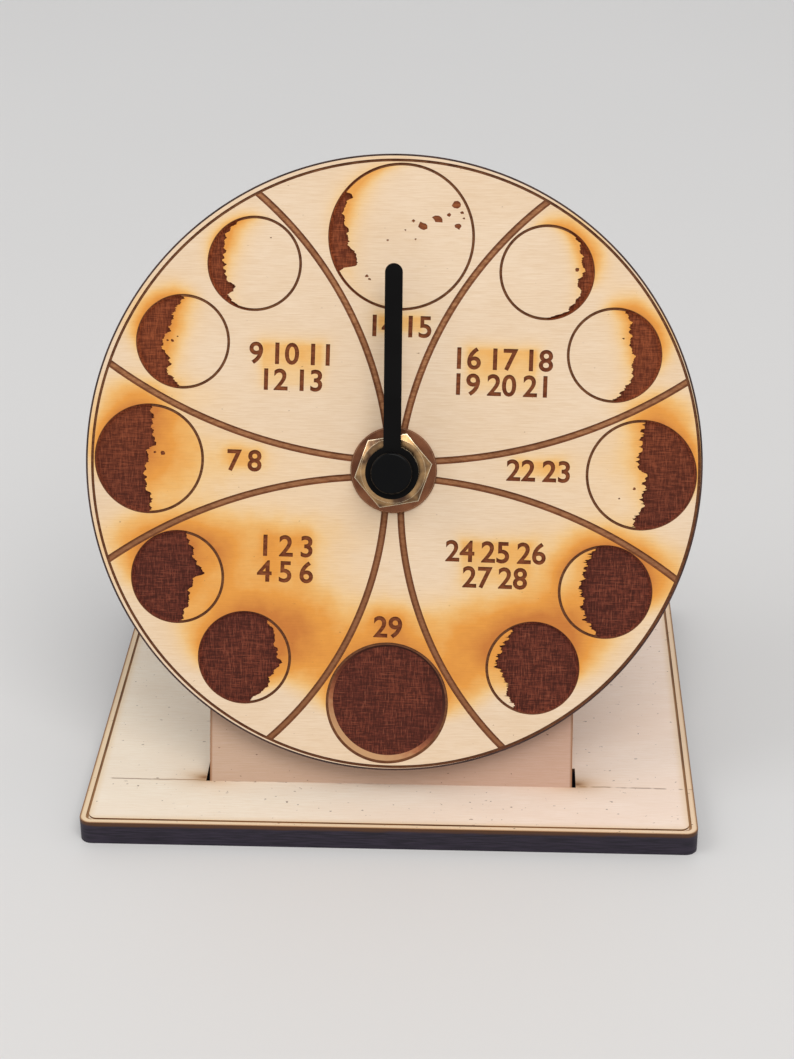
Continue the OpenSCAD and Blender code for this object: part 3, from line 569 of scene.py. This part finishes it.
def charred_rim():
    """The laser-cut edge: darker glue lines between the three plies."""
    g = Graph("Birch_Charred_Rim")
    streak = g.noise((6, 6, 0.3), 4.0, 0.6)
    plies = g.math("PINGPONG", g.add(g.z, 0.02), PLY_T / 2)
    colour = g.mix(g.step(streak, 0.35, 0.65), CHAR, CHAR_BROWN)
    colour = g.mix(g.step(plies, 0.0, 0.25, 0.55, 0.0), colour, CHAR)
    g.bump(streak, 0.08, 0.6)
    return g.finish(colour, g.step(streak, 0.3, 0.7, 0.75, 0.6), specular=0.3)


# The dial: one closed mesh with real depth in every engraved mark

def circle(cx, cy, r, n):
    angles = [2 * math.pi * i / n for i in range(n)]
    return [(cx + r * math.cos(a), cy + r * math.sin(a)) for a in angles]


def to_dial(points):
    """Points of the engraving in the dial's own frame."""
    c, s = math.cos(ART_TURN), math.sin(ART_TURN)
    return [(ART_SHIFT[0] + c * x - s * y, ART_SHIFT[1] + s * x + c * y) for x, y in points]


def centre_of(moon):
    """The moon's centre in the dial's own frame."""
    return to_dial([moon.centre])[0]


def band_side(r, off, start, radius):
    """Points of one side of a band: an arc of that radius, from the hub to the ring."""
    reach = math.hypot(off + r, start)
    lean = math.atan2(start, off + r)
    ends = []
    for out in (BAND_START, RING_R):
        turn = math.acos(min(1, (reach ** 2 + radius ** 2 - out ** 2) / (2 * reach * radius)))
        ends.append(turn - lean)
    points = []
    for i in range(BAND_STEPS + 1):
        a = ends[0] + (ends[1] - ends[0]) * i / BAND_STEPS
        points.append((off + r - radius * math.cos(a), start + radius * math.sin(a)))
    return points


def band_loop(r, off, start, half_width, where, side):
    """The outline of a band, turned to its place and mirrored to its side."""
    outer = band_side(r, off, start, r + half_width)
    inner = band_side(r, off, start, r - half_width)
    turned = []
    for x, y in outer + inner[::-1]:
        if where == "down":
            y = -y
        if where == "over":
            x, y = y, x
        if where == "under":
            x, y = y, -x
        turned.append((side * x, y))
    return turned


def edge_at(points, height):
    """Place of the light's edge at a height, in shares of the radius, smoothly between its points."""
    if height >= points[0][0]:
        return points[0][1]
    for (h0, x0), (h1, x1) in zip(points, points[1:]):
        if height >= h1:
            t = (h0 - height) / (h0 - h1)
            return x0 + (x1 - x0) * t * t * (3 - 2 * t)
    return points[-1][1]


def light_edge(rng, moon, r, reach):
    """Points of the ragged edge of a moon's light, from the top down."""
    waves = [(rng.uniform(0.5, 1), rng.uniform(0, PHASES), k) for k in WAVES]
    feather = FEATHERS.get(moon.name, FEATHER)
    points = EDGES[moon.name]
    edge = []
    for i in range(1, EDGE_STEPS):
        y = reach * math.cos(math.pi * i / EDGE_STEPS)
        half = math.sqrt(reach * reach - y * y)
        wave = sum(a * math.sin(k * WAVE_PACE * y / r + p) for a, p, k in waves)
        x = r * edge_at(points, y / r) + WANDER * wave + rng.uniform(-JITTER, JITTER)
        comb = max(0, math.sin(FEATHER_PACE * y / r + FEATHER_SWAY * wave)) ** 3
        x += feather * comb * rng.uniform(0.5, 1)
        if moon.name == "full" and not points[-1][0] <= y / r <= points[0][0]:
            x = -half
        x = max(-half + EDGE_ROOM, min(half - EDGE_ROOM, x))
        edge.append((-moon.side * x, y))
    return edge


def dark_part(rng, moon):
    """Loops of a moon's dark part and of its deep floor: an arc, then the ragged edge of the light.
    Between the two arcs lies a slope."""
    r = moon.r - LINE_W / 2
    if moon.dark == 1:
        rim = r - LINE_W / 2 + NEW_LAP
        return circle(0, 0, rim, MOON_STEPS), circle(*NEW_SHIFT, rim - NEW_SLOPE_W, MOON_STEPS)
    reach = r + ARC_OUT
    deep = reach - SLOPE_W
    edge = light_edge(rng, moon, r, reach)
    inner = [(x, y) for x, y in edge if math.hypot(x, y) < deep]
    start, end = (math.atan2(y, -moon.side * x) for x, y in (inner[0], inner[-1]))
    outer_loop = arc_to(reach, moon.side, math.pi / 2, -math.pi / 2) + edge[::-1]
    inner_loop = arc_to(deep, moon.side, start, end) + inner[::-1]
    return outer_loop, inner_loop


def arc_to(r, side, start, end):
    """Points of an arc over the dark side, from the angle at its top to the one at its foot."""
    sweep = end % (2 * math.pi) - start % (2 * math.pi)
    angles = [start + sweep * i / ARC_STEPS for i in range(ARC_STEPS + 1)]
    return [(-side * r * math.cos(a), r * math.sin(a)) for a in angles]


def speck(rng, cx, cy, size):
    """A small ragged blot."""
    points = []
    for i in range(SPECK_POINTS):
        a = 2 * math.pi * i / SPECK_POINTS
        d = size * rng.uniform(*SPECK_RAGGED)
        points.append((cx + SPECK_STRETCH * d * math.cos(a), cy + d * math.sin(a)))
    return points


def glyph_loops(text):
    """Outlines of a line of plain numerals, centred on the origin."""
    curve = bpy.data.curves.new("numerals", "FONT")
    curve.body = text
    curve.size = DIGIT_SIZE
    curve.offset = DIGIT_FATTEN
    curve.resolution_u = DIGIT_CURVE_STEPS
    curve.space_word = DIGIT_SPACE
    curve.align_x = "CENTER"
    holder = bpy.data.objects.new("numerals", curve)
    bpy.context.scene.collection.objects.link(holder)
    bpy.context.view_layer.update()
    mesh = holder.evaluated_get(bpy.context.evaluated_depsgraph_get()).to_mesh()
    uses = {}
    for polygon in mesh.polygons:
        for a, b in polygon.edge_keys:
            uses[(a, b)] = uses.get((a, b), 0) + 1
    around = {}
    for (a, b), n in uses.items():
        if n == 1:
            around.setdefault(a, []).append(b)
            around.setdefault(b, []).append(a)
    places = [(v.co.x, v.co.y) for v in mesh.vertices]
    loops = []
    seen = set()
    for first in sorted(around):
        if first in seen:
            continue
        loop = [first]
        seen.add(first)
        while True:
            onward = [v for v in around[loop[-1]] if v not in seen]
            if not onward:
                break
            loop.append(onward[0])
            seen.add(onward[0])
        loops.append([places[v] for v in loop])
    bpy.data.objects.remove(holder)
    bpy.data.curves.remove(curve)
    heights = [y for loop in loops for _, y in loop]
    mid = (max(heights) + min(heights)) / 2
    return [[(x, y - mid) for x, y in loop] for loop in loops]


def signed_area(loop):
    """Area inside a loop: positive where it runs anticlockwise."""
    return sum(a[0] * b[1] - b[0] * a[1] for a, b in zip(loop, loop[1:] + loop[:1])) / 2


class Outlines:
    """The loops that divide the dial's face, each with the mark that it belongs to."""

    def __init__(self):
        self.verts = []
        self.faces = []
        self.marks = []

    def add(self, mark, loop):
        if signed_area(loop) < 0:
            loop = loop[::-1]
        first = len(self.verts)
        self.verts += [Vector(p) for p in loop]
        self.faces.append(list(range(first, first + len(loop))))
        self.marks.append(mark)

    def cut(self):
        """Triangles of the divided face, each with the marks that cover it an odd number of times."""
        keep_inside = 1
        cut = delaunay_2d_cdt(self.verts, [], self.faces, keep_inside, JOIN_WITHIN)
        verts, _, faces, _, _, covers = cut
        found = []
        for face, cover in zip(faces, covers):
            odd = set()
            for loop in cover:
                odd ^= {self.marks[loop]}
            found.append((face, odd))
        return verts, found


def dial_outlines(rng):
    """All loops of the dial's face."""
    out = Outlines()
    out.add("plate", circle(0, 0, DIAL_R, RIM_STEPS))
    out.add("clean", circle(0, 0, CHAR_R, RIM_STEPS))
    out.add("bore", circle(*BORE_AT, BORE_R, BORE_STEPS))
    for edge in (LINE_W / 2, -LINE_W / 2):
        out.add("ring", to_dial(circle(0, 0, RING_R + edge, RIM_STEPS)))
    for i, (r, off, start, where) in enumerate(BANDS):
        for side in (-1, 1):
            tag = f"{i}{side}"
            out.add("band" + tag, to_dial(band_loop(r, off, start, BAND_W / 2, where, side)))
            out.add("core" + tag, to_dial(band_loop(r, off, start, BAND_W / 2 - BAND_EDGE, where, side)))
    for moon in MOONS:
        add_moon(out, rng, moon)
    for lines, (cx, cy) in LABELS:
        for i, text in enumerate(lines):
            up = cy + DIGIT_PITCH * ((len(lines) - 1) / 2 - i)
            for loop in glyph_loops(text):
                out.add("digit", to_dial([(cx + x, up + y) for x, y in loop]))
    return out


def add_moon(out, rng, moon):
    """A moon's outline, its dark part and the blots on its light part."""
    cx, cy = moon.centre
    for edge in (LINE_W / 2, -LINE_W / 2):
        out.add("outline_" + moon.name, to_dial(circle(cx, cy, moon.r - LINE_W / 2 + edge, MOON_STEPS)))
    dark, deep = dark_part(rng, moon)
    out.add("dark_" + moon.name, to_dial([(cx + x, cy + y) for x, y in dark]))
    out.add("deep_" + moon.name, to_dial([(cx + x, cy + y) for x, y in deep]))
    for px, py, size in SPECKS.get(moon.name, ()):
        out.add("speck", to_dial(speck(rng, cx + px, cy + py, size)))


# The dial's material slots
FACE, LINE, EDGE, CORE, POCKET, SLOPE, SLOPE_PAINTED_LIGHT, DIGIT, WALL, RIM, BACK = range(11)


def kind_of(odd):
    """What a triangle of the dial is: (material, height), or None in the bore."""
    if "bore" in odd or "plate" not in odd:
        return None
    kinds = {mark.split("_")[0].rstrip("-0123456789") for mark in odd}
    if "dark" in kinds:
        if "deep" in kinds:
            return POCKET, POCKET_Z
        return (SLOPE_PAINTED_LIGHT if "dark_new" in odd else SLOPE), None
    if "digit" in kinds:
        return DIGIT, DIGIT_Z
    if "speck" in kinds:
        return DIGIT, SPECK_Z
    if "outline" in kinds or "ring" in kinds:
        return LINE, LINE_Z
    if "core" in kinds:
        return CORE, LINE_Z
    if "band" in kinds:
        return EDGE, LINE_Z
    if "clean" not in kinds:
        return RIM, FACE_Z
    return FACE, FACE_Z


def slope_z(x, y):
    """Height of a pocket's slope at a point: it falls from the lines' depth on its outer arc to the
    floor's on its inner one."""
    for moon in MOONS:
        mx, my = centre_of(moon)
        inwards = moon.r - math.hypot(x - mx, y - my)
        if abs(inwards) < 1:
            fall = (inwards - LINE_W / 2 + ARC_OUT) / SLOPE_W
            if moon.name == "new":
                fall = 1 if inwards > NEW_LIP else 0
            return round(LINE_Z + (POCKET_Z - LINE_Z) * max(0, min(1, fall)), 3)
    return POCKET_Z


def make_dial(materials):
    """The dial's plate: faces at the height of their marks, walls between them, and a flat back."""
    verts, triangles = dial_outlines(random.Random(SEED)).cut()
    points = []
    index = {}
    faces = []
    slots = []

    def at(v, z):
        if (v, z) not in index:
            index[(v, z)] = len(points)
            points.append((verts[v][0] * MM, verts[v][1] * MM, z * MM))
        return index[(v, z)]

    sides = {}
    levels = {}
    for face, odd in triangles:
        kind = kind_of(odd)
        if kind is None:
            continue
        slot, level = kind
        heights = [slope_z(*verts[v]) if level is None else level for v in face]
        faces.append([at(v, z) for v, z in zip(face, heights)])
        slots.append(slot)
        faces.append([at(v, 0) for v in face[::-1]])
        slots.append(BACK)
        ends = list(zip(face, heights))
        for (a, za), (b, zb) in zip(ends, ends[1:] + ends[:1]):
            sides[(a, b)] = (za, zb)
            levels.setdefault(a, {0}).add(za)

    def column(v, high, low):
        """The points of a vertex from one height down to another, with each height that a face uses."""
        return [at(v, z) for z in sorted(levels[v], reverse=True) if low <= z <= high]

    for (a, b), (za, zb) in sides.items():
        ob, oa = sides.get((b, a), (0, 0))
        if za >= oa and zb >= ob and za + zb > oa + ob:
            wall = column(a, za, oa) + column(b, zb, ob)[::-1]
            faces.append(list(dict.fromkeys(wall)))
            slots.append(RIM if oa == 0 else WALL)
    mesh = bpy.data.meshes.new("moon_dial")
    mesh.from_pydata(points, [], faces)
    mesh.polygons.foreach_set("material_index", slots)
    for material in materials:
        mesh.materials.append(material)
    mesh.validate()
    mesh.update()
    dial = bpy.data.objects.new("moon_dial", mesh)
    bpy.context.scene.collection.objects.link(dial)
    dial.matrix_world = DIAL
    return dial


# Plywood plates and the rest of the CAD parts, in mm. A plate's size is its width, its depth and the
# radius of its corners, round the origin of its frame. The panel's origin is at its foot, so half of
# its size lies below it. The dial's back gets a square beyond its rim, so that its margin stays pale.

BASE_SIZE = (100, 80, 2)
BASE_T = 4
BASE_TINT = (1.05, 1.09, 1.14)
PANEL_SIZE = (60, 168, 6)
# The panel's darker tint is partly its own tone and partly painted shade from the dial above it.
PANEL_TONE_AND_PAINTED_SHADE = (0.66, 0.54, 0.5)
DIAL_BACK_SIZE = (140, 140, 2)
DIAL_BACK_TINT = (0.9, 0.86, 0.82)

# Where the brown of a burnt edge fades: inwards on a plate's face, on the base's face, and downwards
# on the cut
EDGE_FADE = (0.08, 0.5)
BORDER_EDGE_FADE = (0.08, 0.3)
CUT_FADE = (0.35, 0.9)
# The border line: its distance from the edge, where it fades on the face and in its groove, and how
# far the wood is singed outwards and inwards of it
BORDER_IN = 1.2
BORDER_FADE = (0.16, 0.28)
GROOVE_FADE = (0.4, 0.6)
SINGED_OUT = 0.2
SINGED_IN = 1.6
# The seam along the slot's front, and the notches beside the panel with their pale and dark scorch
SEAM_AT = -27.0
SEAM_FADE = (0.05, 0.22)
SEAM_WANDER = 0.9
NOTCH_X = 31
NOTCH_BEHIND = 0.8
NOTCH_NARROW = 0.6
NOTCH_GLOW = 1.9
NOTCH_CHAR = 0.7

PLY_PALE = lin(246, 228, 208)
PLY_STREAK = lin(236, 213, 187)
PLY_CLOUD = lin(236, 212, 188)
# The sallow and rosy tints are painted coloured light, laid across the plates from left to right.
SALLOW_PAINTED_LIGHT = (0.985, 1.005, 0.985)
ROSY_PAINTED_LIGHT = (1.02, 0.965, 0.975)
SOOT = lin(28, 23, 34)
SOOT_PALE = lin(48, 40, 54)


def plate_edge(g, w, d, r):
    """Distance in mm from the outline of a plate with round corners, inwards."""
    qx = g.sub(g.math("ABSOLUTE", g.x), w / 2 - r)
    qy = g.sub(g.math("ABSOLUTE", g.y), d / 2 - r)
    corner = g.hypot(g.math("MAXIMUM", qx, 0.0), g.math("MAXIMUM", qy, 0.0))
    straight = g.math("MINIMUM", g.math("MAXIMUM", qx, qy), 0.0)
    return g.sub(r, g.add(corner, straight))


def pale_ply(g, grain, cloud, tint):
    """The clean face, with a painted light tint: sallow towards the left of the clock and rosy towards its
    right.
    """
    pale = g.mix(g.step(grain, 0.3, 0.66), PLY_STREAK, PLY_PALE)
    pale = g.mix(g.step(cloud, 0.35, 0.7, 0.0, 0.5), pale, PLY_CLOUD)
    pale = g.vector("MULTIPLY", pale, tint)
    sallow = g.vector("MULTIPLY", pale, SALLOW_PAINTED_LIGHT)
    rosy = g.vector("MULTIPLY", pale, ROSY_PAINTED_LIGHT)
    return g.mix(g.step(g.x, -35.0, 40.0), sallow, rosy)


def charred_edge(g, top):
    """The cut edge: soot, with a brown scorch just under the upper face."""
    streak = g.noise((5, 5, 0.3), 4.0, 0.6)
    soot = g.mix(g.step(streak, 0.35, 0.65), SOOT, SOOT_PALE)
    below = g.add(g.sub(top, g.z), g.mul(g.sub(streak, 0.5), 0.9))
    return g.mix(g.step(below, *CUT_FADE, 0.8, 0.0), soot, lin(92, 58, 30))


def border_line(g, colour, charred, inwards):
    """The engraved line along a plate's margin and singed wood round it, as (face, groove's wall)."""
    off_line = g.math("ABSOLUTE", g.sub(inwards, BORDER_IN))
    wander = g.noise((12, 12, 12), 2.0, 0.5, 31.0)
    brown = g.mix(g.step(wander, 0.4, 0.65), lin(164, 118, 72), lin(126, 82, 46))
    margin = g.step(inwards, BORDER_IN - SINGED_OUT, BORDER_IN + SINGED_IN, 0.55, 0.0)
    colour = g.mix(margin, colour, lin(226, 190, 138))
    colour = g.mix(g.step(inwards, *BORDER_EDGE_FADE, 0.9, 0.0), colour, lin(128, 82, 48))
    colour = g.mix(g.step(off_line, *BORDER_FADE, 0.95, 0.0), colour, brown)
    return colour, g.mix(g.step(off_line, *GROOVE_FADE, 1.0, 0.0), charred, brown)


def slot_seam(g, colour):
    """A thin broken seam along the slot's front, and singed wood at the notches beside the panel."""
    wave = g.mul(g.sub(g.noise((7, 60, 60), 3.0, 0.6, 41.0), 0.5), SEAM_WANDER)
    off_seam = g.math("ABSOLUTE", g.add(g.sub(g.y, SEAM_AT), wave))
    broken = g.step(g.noise((3.5, 40, 40), 2.0, 0.6, 47.0), 0.38, 0.5)
    seam = g.mul(g.step(off_seam, *SEAM_FADE, 0.75, 0.0), broken)
    colour = g.mix(seam, colour, lin(120, 84, 60))
    aside = g.mul(g.sub(g.math("ABSOLUTE", g.x), NOTCH_X), NOTCH_NARROW)
    off_notch = g.hypot(aside, g.sub(g.y, SEAM_AT + NOTCH_BEHIND))
    colour = g.mix(g.mul(g.fade(off_notch, NOTCH_GLOW), 0.85), colour, lin(206, 150, 78))
    return g.mix(g.mul(g.fade(off_notch, NOTCH_CHAR), 0.9), colour, lin(120, 72, 40))


def plywood(name, frame_of, size, top, tint, is_base=False):
    """A plywood plate whose upper face is at z = top: grain on its faces and charred cut edges. The
    base has a border line, a seam and scorched notches as well."""
    g = Graph(name, frame_of)
    grain, cloud = wood_grain(g)
    inwards = plate_edge(g, *size)
    colour = pale_ply(g, grain, cloud, tint)
    colour = g.mix(g.step(inwards, *EDGE_FADE, 0.85, 0.0), colour, lin(150, 100, 62))
    charred = charred_edge(g, top)
    if is_base:
        colour, charred = border_line(g, colour, charred, inwards)
        colour = slot_seam(g, colour)
    fleck = g.noise((0.9, 0.6, 0.6), 2.0, 0.5, 23.0)
    colour = g.mix(g.step(fleck, 0.705, 0.75, 0.0, 0.75), colour, lin(104, 70, 52))
    split = g.tree.nodes.new("ShaderNodeSeparateXYZ")
    g.put(split.inputs[0], g.normal)
    flat = g.math("ABSOLUTE", split.outputs[2])
    colour = g.mix(g.step(flat, 0.35, 0.6), charred, colour)
    g.bump(grain, 0.04, 0.45)
    return g.finish(colour, g.step(grain, 0.3, 0.7, 0.62, 0.5), specular=0.3)


DRAWN_MARKS = (0.3, 2, 2)


def simple(name, colour, other, rough, metal=0.0, marks=(1.2,) * 3, depth=0.01, specular=0.5,
           worn=None, worn_reach=0.3, patch=8):
    """A plain finish: two close colours in patches, uneven gloss, a fine texture, and edges that may get a
    painted highlight in another colour."""
    g = Graph(name)
    fine = g.noise(marks, 4.0, 0.6)
    broad = g.noise((patch,) * 3, 2.0, 0.5, 5.0)
    tone = g.mix(g.step(broad, 0.3, 0.7), colour, other)
    # A painted highlight on the sharp edges.
    if worn is not None:
        tone = g.mix(g.near_edge(worn_reach), tone, worn)
    g.bump(fine, depth, 0.6)
    return g.finish(tone, g.step(fine, 0.3, 0.7, rough[0], rough[1]), metal, specular)


def metal_look(name, colour, other, rough, depth, **worn):
    """Metal with fine drawing marks along x."""
    return simple(name, lin(*colour), lin(*other), rough, 1.0, DRAWN_MARKS, depth, **worn)


def plastic_look(name, colour, other, rough, mark, depth, **more):
    """Plastic or rubber, with marks of one size all ways."""
    return simple(name, lin(*colour), lin(*other), rough, 0.0, (mark,) * 3, depth, **more)


WIRE_D = 0.22
BATTERY_LEN = 49.3
BATTERY_CAN = 0.7
SLEEVE_HEM = 0.8
SLEEVE_BAND_AT = 9.0
SLEEVE_SOFT = 0.1


def wound_wire():
    """Turns of enamelled wire round the coil, which lies along x, with painted shade in the grooves
    between turns.
    """
    g = Graph("Copper_Winding")
    turns = g.math("PINGPONG", g.x, WIRE_D / 2)
    fine = g.noise((0.4, 3, 3), 3.0, 0.6)
    # Painted shade: dark brown where neighbouring turns meet.
    colour = g.mix(g.step(turns, 0.0, 0.08), lin(96, 42, 20), lin(205, 118, 66))
    colour = g.mix(g.step(fine, 0.35, 0.7, 0.0, 0.4), colour, lin(150, 76, 38))
    g.bump(turns, 0.1, 0.8)
    return g.finish(colour, g.step(fine, 0.3, 0.7, 0.42, 0.3), 0.6)


def battery_sleeve():
    """A plain sleeve in two colours with bare steel ends."""
    g = Graph("Battery_Sleeve")
    fine = g.noise((6, 0.6, 0.6), 3.0, 0.6)
    along = g.math("ABSOLUTE", g.x)
    band = g.step(g.x, SLEEVE_BAND_AT, SLEEVE_BAND_AT + 2 * SLEEVE_SOFT)
    sleeve = g.mix(band, lin(38, 58, 88), lin(196, 150, 62))
    sleeve = g.mix(g.step(fine, 0.35, 0.7, 0.0, 0.1), sleeve, lin(28, 40, 60))
    sleeve_end = BATTERY_LEN / 2 - BATTERY_CAN - SLEEVE_HEM
    bare = g.step(along, sleeve_end - SLEEVE_SOFT, sleeve_end)
    colour = g.mix(bare, sleeve, lin(196, 196, 196))
    g.bump(fine, 0.01, 0.5)
    return g.finish(colour, g.step(fine, 0.3, 0.7, 0.32, 0.24), 0.0, 0.6, 0.3)


def metal_looks():
    """The materials of the metal nodes."""
    # Brass for the nut and the hand's parts: its dark second colour, in small patches, is painted dark
    # reflection, and its pale cream edges are a painted highlight.
    brass = metal_look("Brass", (172, 136, 94), (74, 54, 44), (0.22, 0.14), 0.003,
                       worn=lin(246, 230, 198), worn_reach=0.28, patch=2.6)
    # The washer's pale edges are a painted highlight.
    dull = metal_look("Brass_Dull", (124, 80, 56), (92, 56, 40), (0.34, 0.24), 0.003,
                      worn=lin(188, 150, 118), worn_reach=0.14, patch=4)
    steel = metal_look("Steel_Zinc", (205, 207, 208), (190, 191, 192), (0.36, 0.26), 0.004)
    iron = simple("Soft_Iron", lin(150, 152, 155), lin(132, 134, 138), (0.5, 0.4), 1.0, (0.4, 2, 2), 0.006)
    magnet = simple("Magnet_Grey", lin(112, 112, 115), lin(96, 96, 99), (0.5, 0.4), 0.7)
    looks = {"dial_washer": dull, "rotor_magnet": magnet, "coil_core": iron, "stator": iron}
    for node_name in ("dial_nut", "threaded_bushing", "hand_tube", "hand_collet"):
        looks[node_name] = brass
    for node_name in ("bridge_screws", "cover_screws", "quartz_crystal", "positive_contact",
                      "negative_contact", "clutch_washer"):
        looks[node_name] = steel
    return looks


def plastic_looks():
    """The materials of the plastic, rubber and lacquered nodes."""
    look = plastic_look
    case = look("Plastic_Grey", (38, 38, 40), (48, 48, 50), (0.62, 0.5), 0.35, 0.03, specular=0.45)
    nylon = look("Nylon_Gear", (236, 232, 220), (226, 221, 206), (0.42, 0.34), 0.8, 0.01)
    looks = {
        "movement_case": case,
        "rear_cover": case,
        "rubber_gasket": look("Rubber", (34, 34, 34), (44, 43, 42), (0.9, 0.8), 0.5, 0.02, specular=0.3),
        "gear_bridge": look("Plastic_Bridge", (226, 228, 226), (214, 216, 215), (0.5, 0.42), 0.6, 0.01),
        "circuit_board": look("Board_Green", (34, 112, 66), (26, 92, 54), (0.4, 0.3), 1.5, 0.01),
        "driver_chip": look("Resin_Black", (24, 24, 25), (32, 32, 33), (0.4, 0.28), 0.8, 0.02),
        "coil_bobbin": look("Plastic_Ivory", (228, 220, 196), (216, 206, 180), (0.5, 0.4), 1.2, 0.01),
        "setting_knob": look("Plastic_Knob", (34, 34, 36), (44, 44, 46), (0.5, 0.4), 0.5, 0.02),
        "moon_hand": look("Lacquer_Black", (5, 4, 4), (9, 8, 8), (0.5, 0.4), 0.5, 0.004, specular=0.06),
        # The cap's grey edge is a painted highlight.
        "hand_cap": look("Cap_Black", (4, 4, 5), (7, 7, 7), (0.2, 0.14), 0.6, 0.002, specular=0.08,
                         worn=lin(66, 66, 68), worn_reach=0.16),
    }
    for node_name in ("rotor_pinion", "step_wheel", "transfer_wheel", "drive_wheel", "setting_wheel",
                      "setting_pinion"):
        looks[node_name] = nylon
    return looks


def cad_looks():
    """The material of each CAD node."""
    return {
        "base_plate": plywood("Birch_Base", None, BASE_SIZE, BASE_T, BASE_TINT, is_base=True),
        "upright_panel": plywood("Birch_Panel", PANEL, PANEL_SIZE, 0, PANEL_TONE_AND_PAINTED_SHADE),
        "coil_winding": wound_wire(),
        "battery": battery_sleeve(),
        **metal_looks(),
        **plastic_looks(),
    }


# Build

dial = make_dial((
    dial_face(),
    engraved("Birch_Burnt_Line", lin(138, 90, 52), lin(98, 56, 32), low_dark=0.4),
    engraved("Birch_Burnt_Band_Edge", lin(142, 86, 48), lin(108, 62, 34), low_dark=0.3),
    engraved("Birch_Burnt_Band", lin(186, 130, 86), lin(136, 86, 52), low_dark=0.75),
    pocket_floor("Birch_Burnt_Pocket", 1.0),
    pocket_floor("Birch_Burnt_Slope", 1.15),
    slope_painted_light(),
    engraved("Birch_Burnt_Digit", lin(150, 84, 42), lin(108, 50, 24)),
    engraved("Birch_Burnt_Wall", lin(172, 106, 66), lin(124, 68, 40)),
    charred_rim(),
    plywood("Birch_Dial_Back", None, DIAL_BACK_SIZE, DIAL_T, DIAL_BACK_TINT),
))
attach(dial, "stand")
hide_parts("dial")

for name, material in cad_looks().items():
    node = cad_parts[name]
    node.data.materials.clear()
    node.data.materials.append(material)


# Camera, floor and light

IMAGE_H = 1059
FOCAL_PX = 2300
SENSOR = 36
CAM_AT = Vector((0.016402, -0.345651, 0.216963))
YAW, PITCH, ROLL = 0.047034, 0.478595, -0.0071552
CLOCK_MIDDLE = Vector((0, 0, 0.04))
FLOOR_HALF = 3
SKY_COLOUR = (0.97, 0.98, 1, 1)
SKY_LIGHT = 0.58
WHITE = (1, 1, 1, 1)


def place_camera():
    """The camera of the photo, found from the corners and circles of the clock."""
    data = bpy.data.cameras.new("Camera")
    data.sensor_width = SENSOR
    data.lens = FOCAL_PX / IMAGE_H * SENSOR
    data.clip_start = 0.01
    data.clip_end = 20
    camera = bpy.data.objects.new("Camera", data)
    bpy.context.scene.collection.objects.link(camera)
    cos_y, sin_y = math.cos(YAW), math.sin(YAW)
    cos_p, sin_p = math.cos(PITCH), math.sin(PITCH)
    forward = Vector((-sin_y * cos_p, cos_y * cos_p, -sin_p))
    right = Vector((cos_y, sin_y, 0))
    up = right.cross(forward)
    cos_r, sin_r = math.cos(ROLL), math.sin(ROLL)
    across = cos_r * right + sin_r * up
    upward = cos_r * up - sin_r * right
    turn = Matrix((across, upward, -forward)).transposed().to_4x4()
    camera.matrix_world = Matrix.Translation(CAM_AT) @ turn
    bpy.context.scene.camera = camera


def lamp(name, at, size, power, colour):
    """A round soft lamp that shines on the clock."""
    data = bpy.data.lights.new(name, "AREA")
    data.shape = "DISK"
    data.size = size
    data.energy = power
    data.color = colour
    light = bpy.data.objects.new(name, data)
    bpy.context.scene.collection.objects.link(light)
    light.location = at
    light.rotation_mode = "QUATERNION"
    light.rotation_quaternion = (CLOCK_MIDDLE - Vector(at)).to_track_quat("-Z", "Y")


def floor():
    """The pale table that the clock stands on."""
    mesh = bpy.data.meshes.new("Floor")
    corners = [(x * FLOOR_HALF, y * FLOOR_HALF, 0) for x, y in ((-1, -1), (1, -1), (1, 1), (-1, 1))]
    mesh.from_pydata(corners, [], [(0, 1, 2, 3)])
    table = bpy.data.objects.new("Floor", mesh)
    bpy.context.scene.collection.objects.link(table)
    g = Graph("Floor_Pale")
    soft = g.noise((300, 300, 300), 2.0, 0.5)
    colour = g.mix(soft, (0.70, 0.69, 0.68, 1), (0.75, 0.74, 0.73, 1))
    g.bump(g.noise((3, 3, 3), 2.0, 0.5), 0.02, 0.3)
    table.data.materials.append(g.finish(colour, 0.5, specular=0.3))


def sky():
    """A plain soft light, with a white background for the camera and for reflections."""
    world = bpy.data.worlds.new("Sky")
    bpy.context.scene.world = world
    world.use_nodes = True
    tree = world.node_tree
    tree.nodes.clear()
    out = tree.nodes.new("ShaderNodeOutputWorld")
    seen = tree.nodes.new("ShaderNodeBackground")
    seen.inputs["Color"].default_value = WHITE
    seen.inputs["Strength"].default_value = 1
    lit = tree.nodes.new("ShaderNodeBackground")
    lit.inputs["Color"].default_value = SKY_COLOUR
    lit.inputs["Strength"].default_value = SKY_LIGHT
    path = tree.nodes.new("ShaderNodeLightPath")
    choose = tree.nodes.new("ShaderNodeMixShader")
    shown = path.outputs["Is Camera Ray"]
    for ray in ("Is Glossy Ray", "Is Transmission Ray"):
        both = tree.nodes.new("ShaderNodeMath")
        both.operation = "MAXIMUM"
        tree.links.new(shown, both.inputs[0])
        tree.links.new(path.outputs[ray], both.inputs[1])
        shown = both.outputs[0]
    tree.links.new(shown, choose.inputs[0])
    tree.links.new(lit.outputs[0], choose.inputs[1])
    tree.links.new(seen.outputs[0], choose.inputs[2])
    tree.links.new(choose.outputs[0], out.inputs[0])


place_camera()
floor()
sky()
lamp("Key", at=(0.25, -0.75, 1.15), size=0.9, power=8.0, colour=(1, 0.985, 0.96))
lamp("Fill", at=(-0.8, -0.3, 0.9), size=0.7, power=2.2, colour=(1, 0.99, 0.98))
bpy.context.scene.view_settings.view_transform = "Standard"
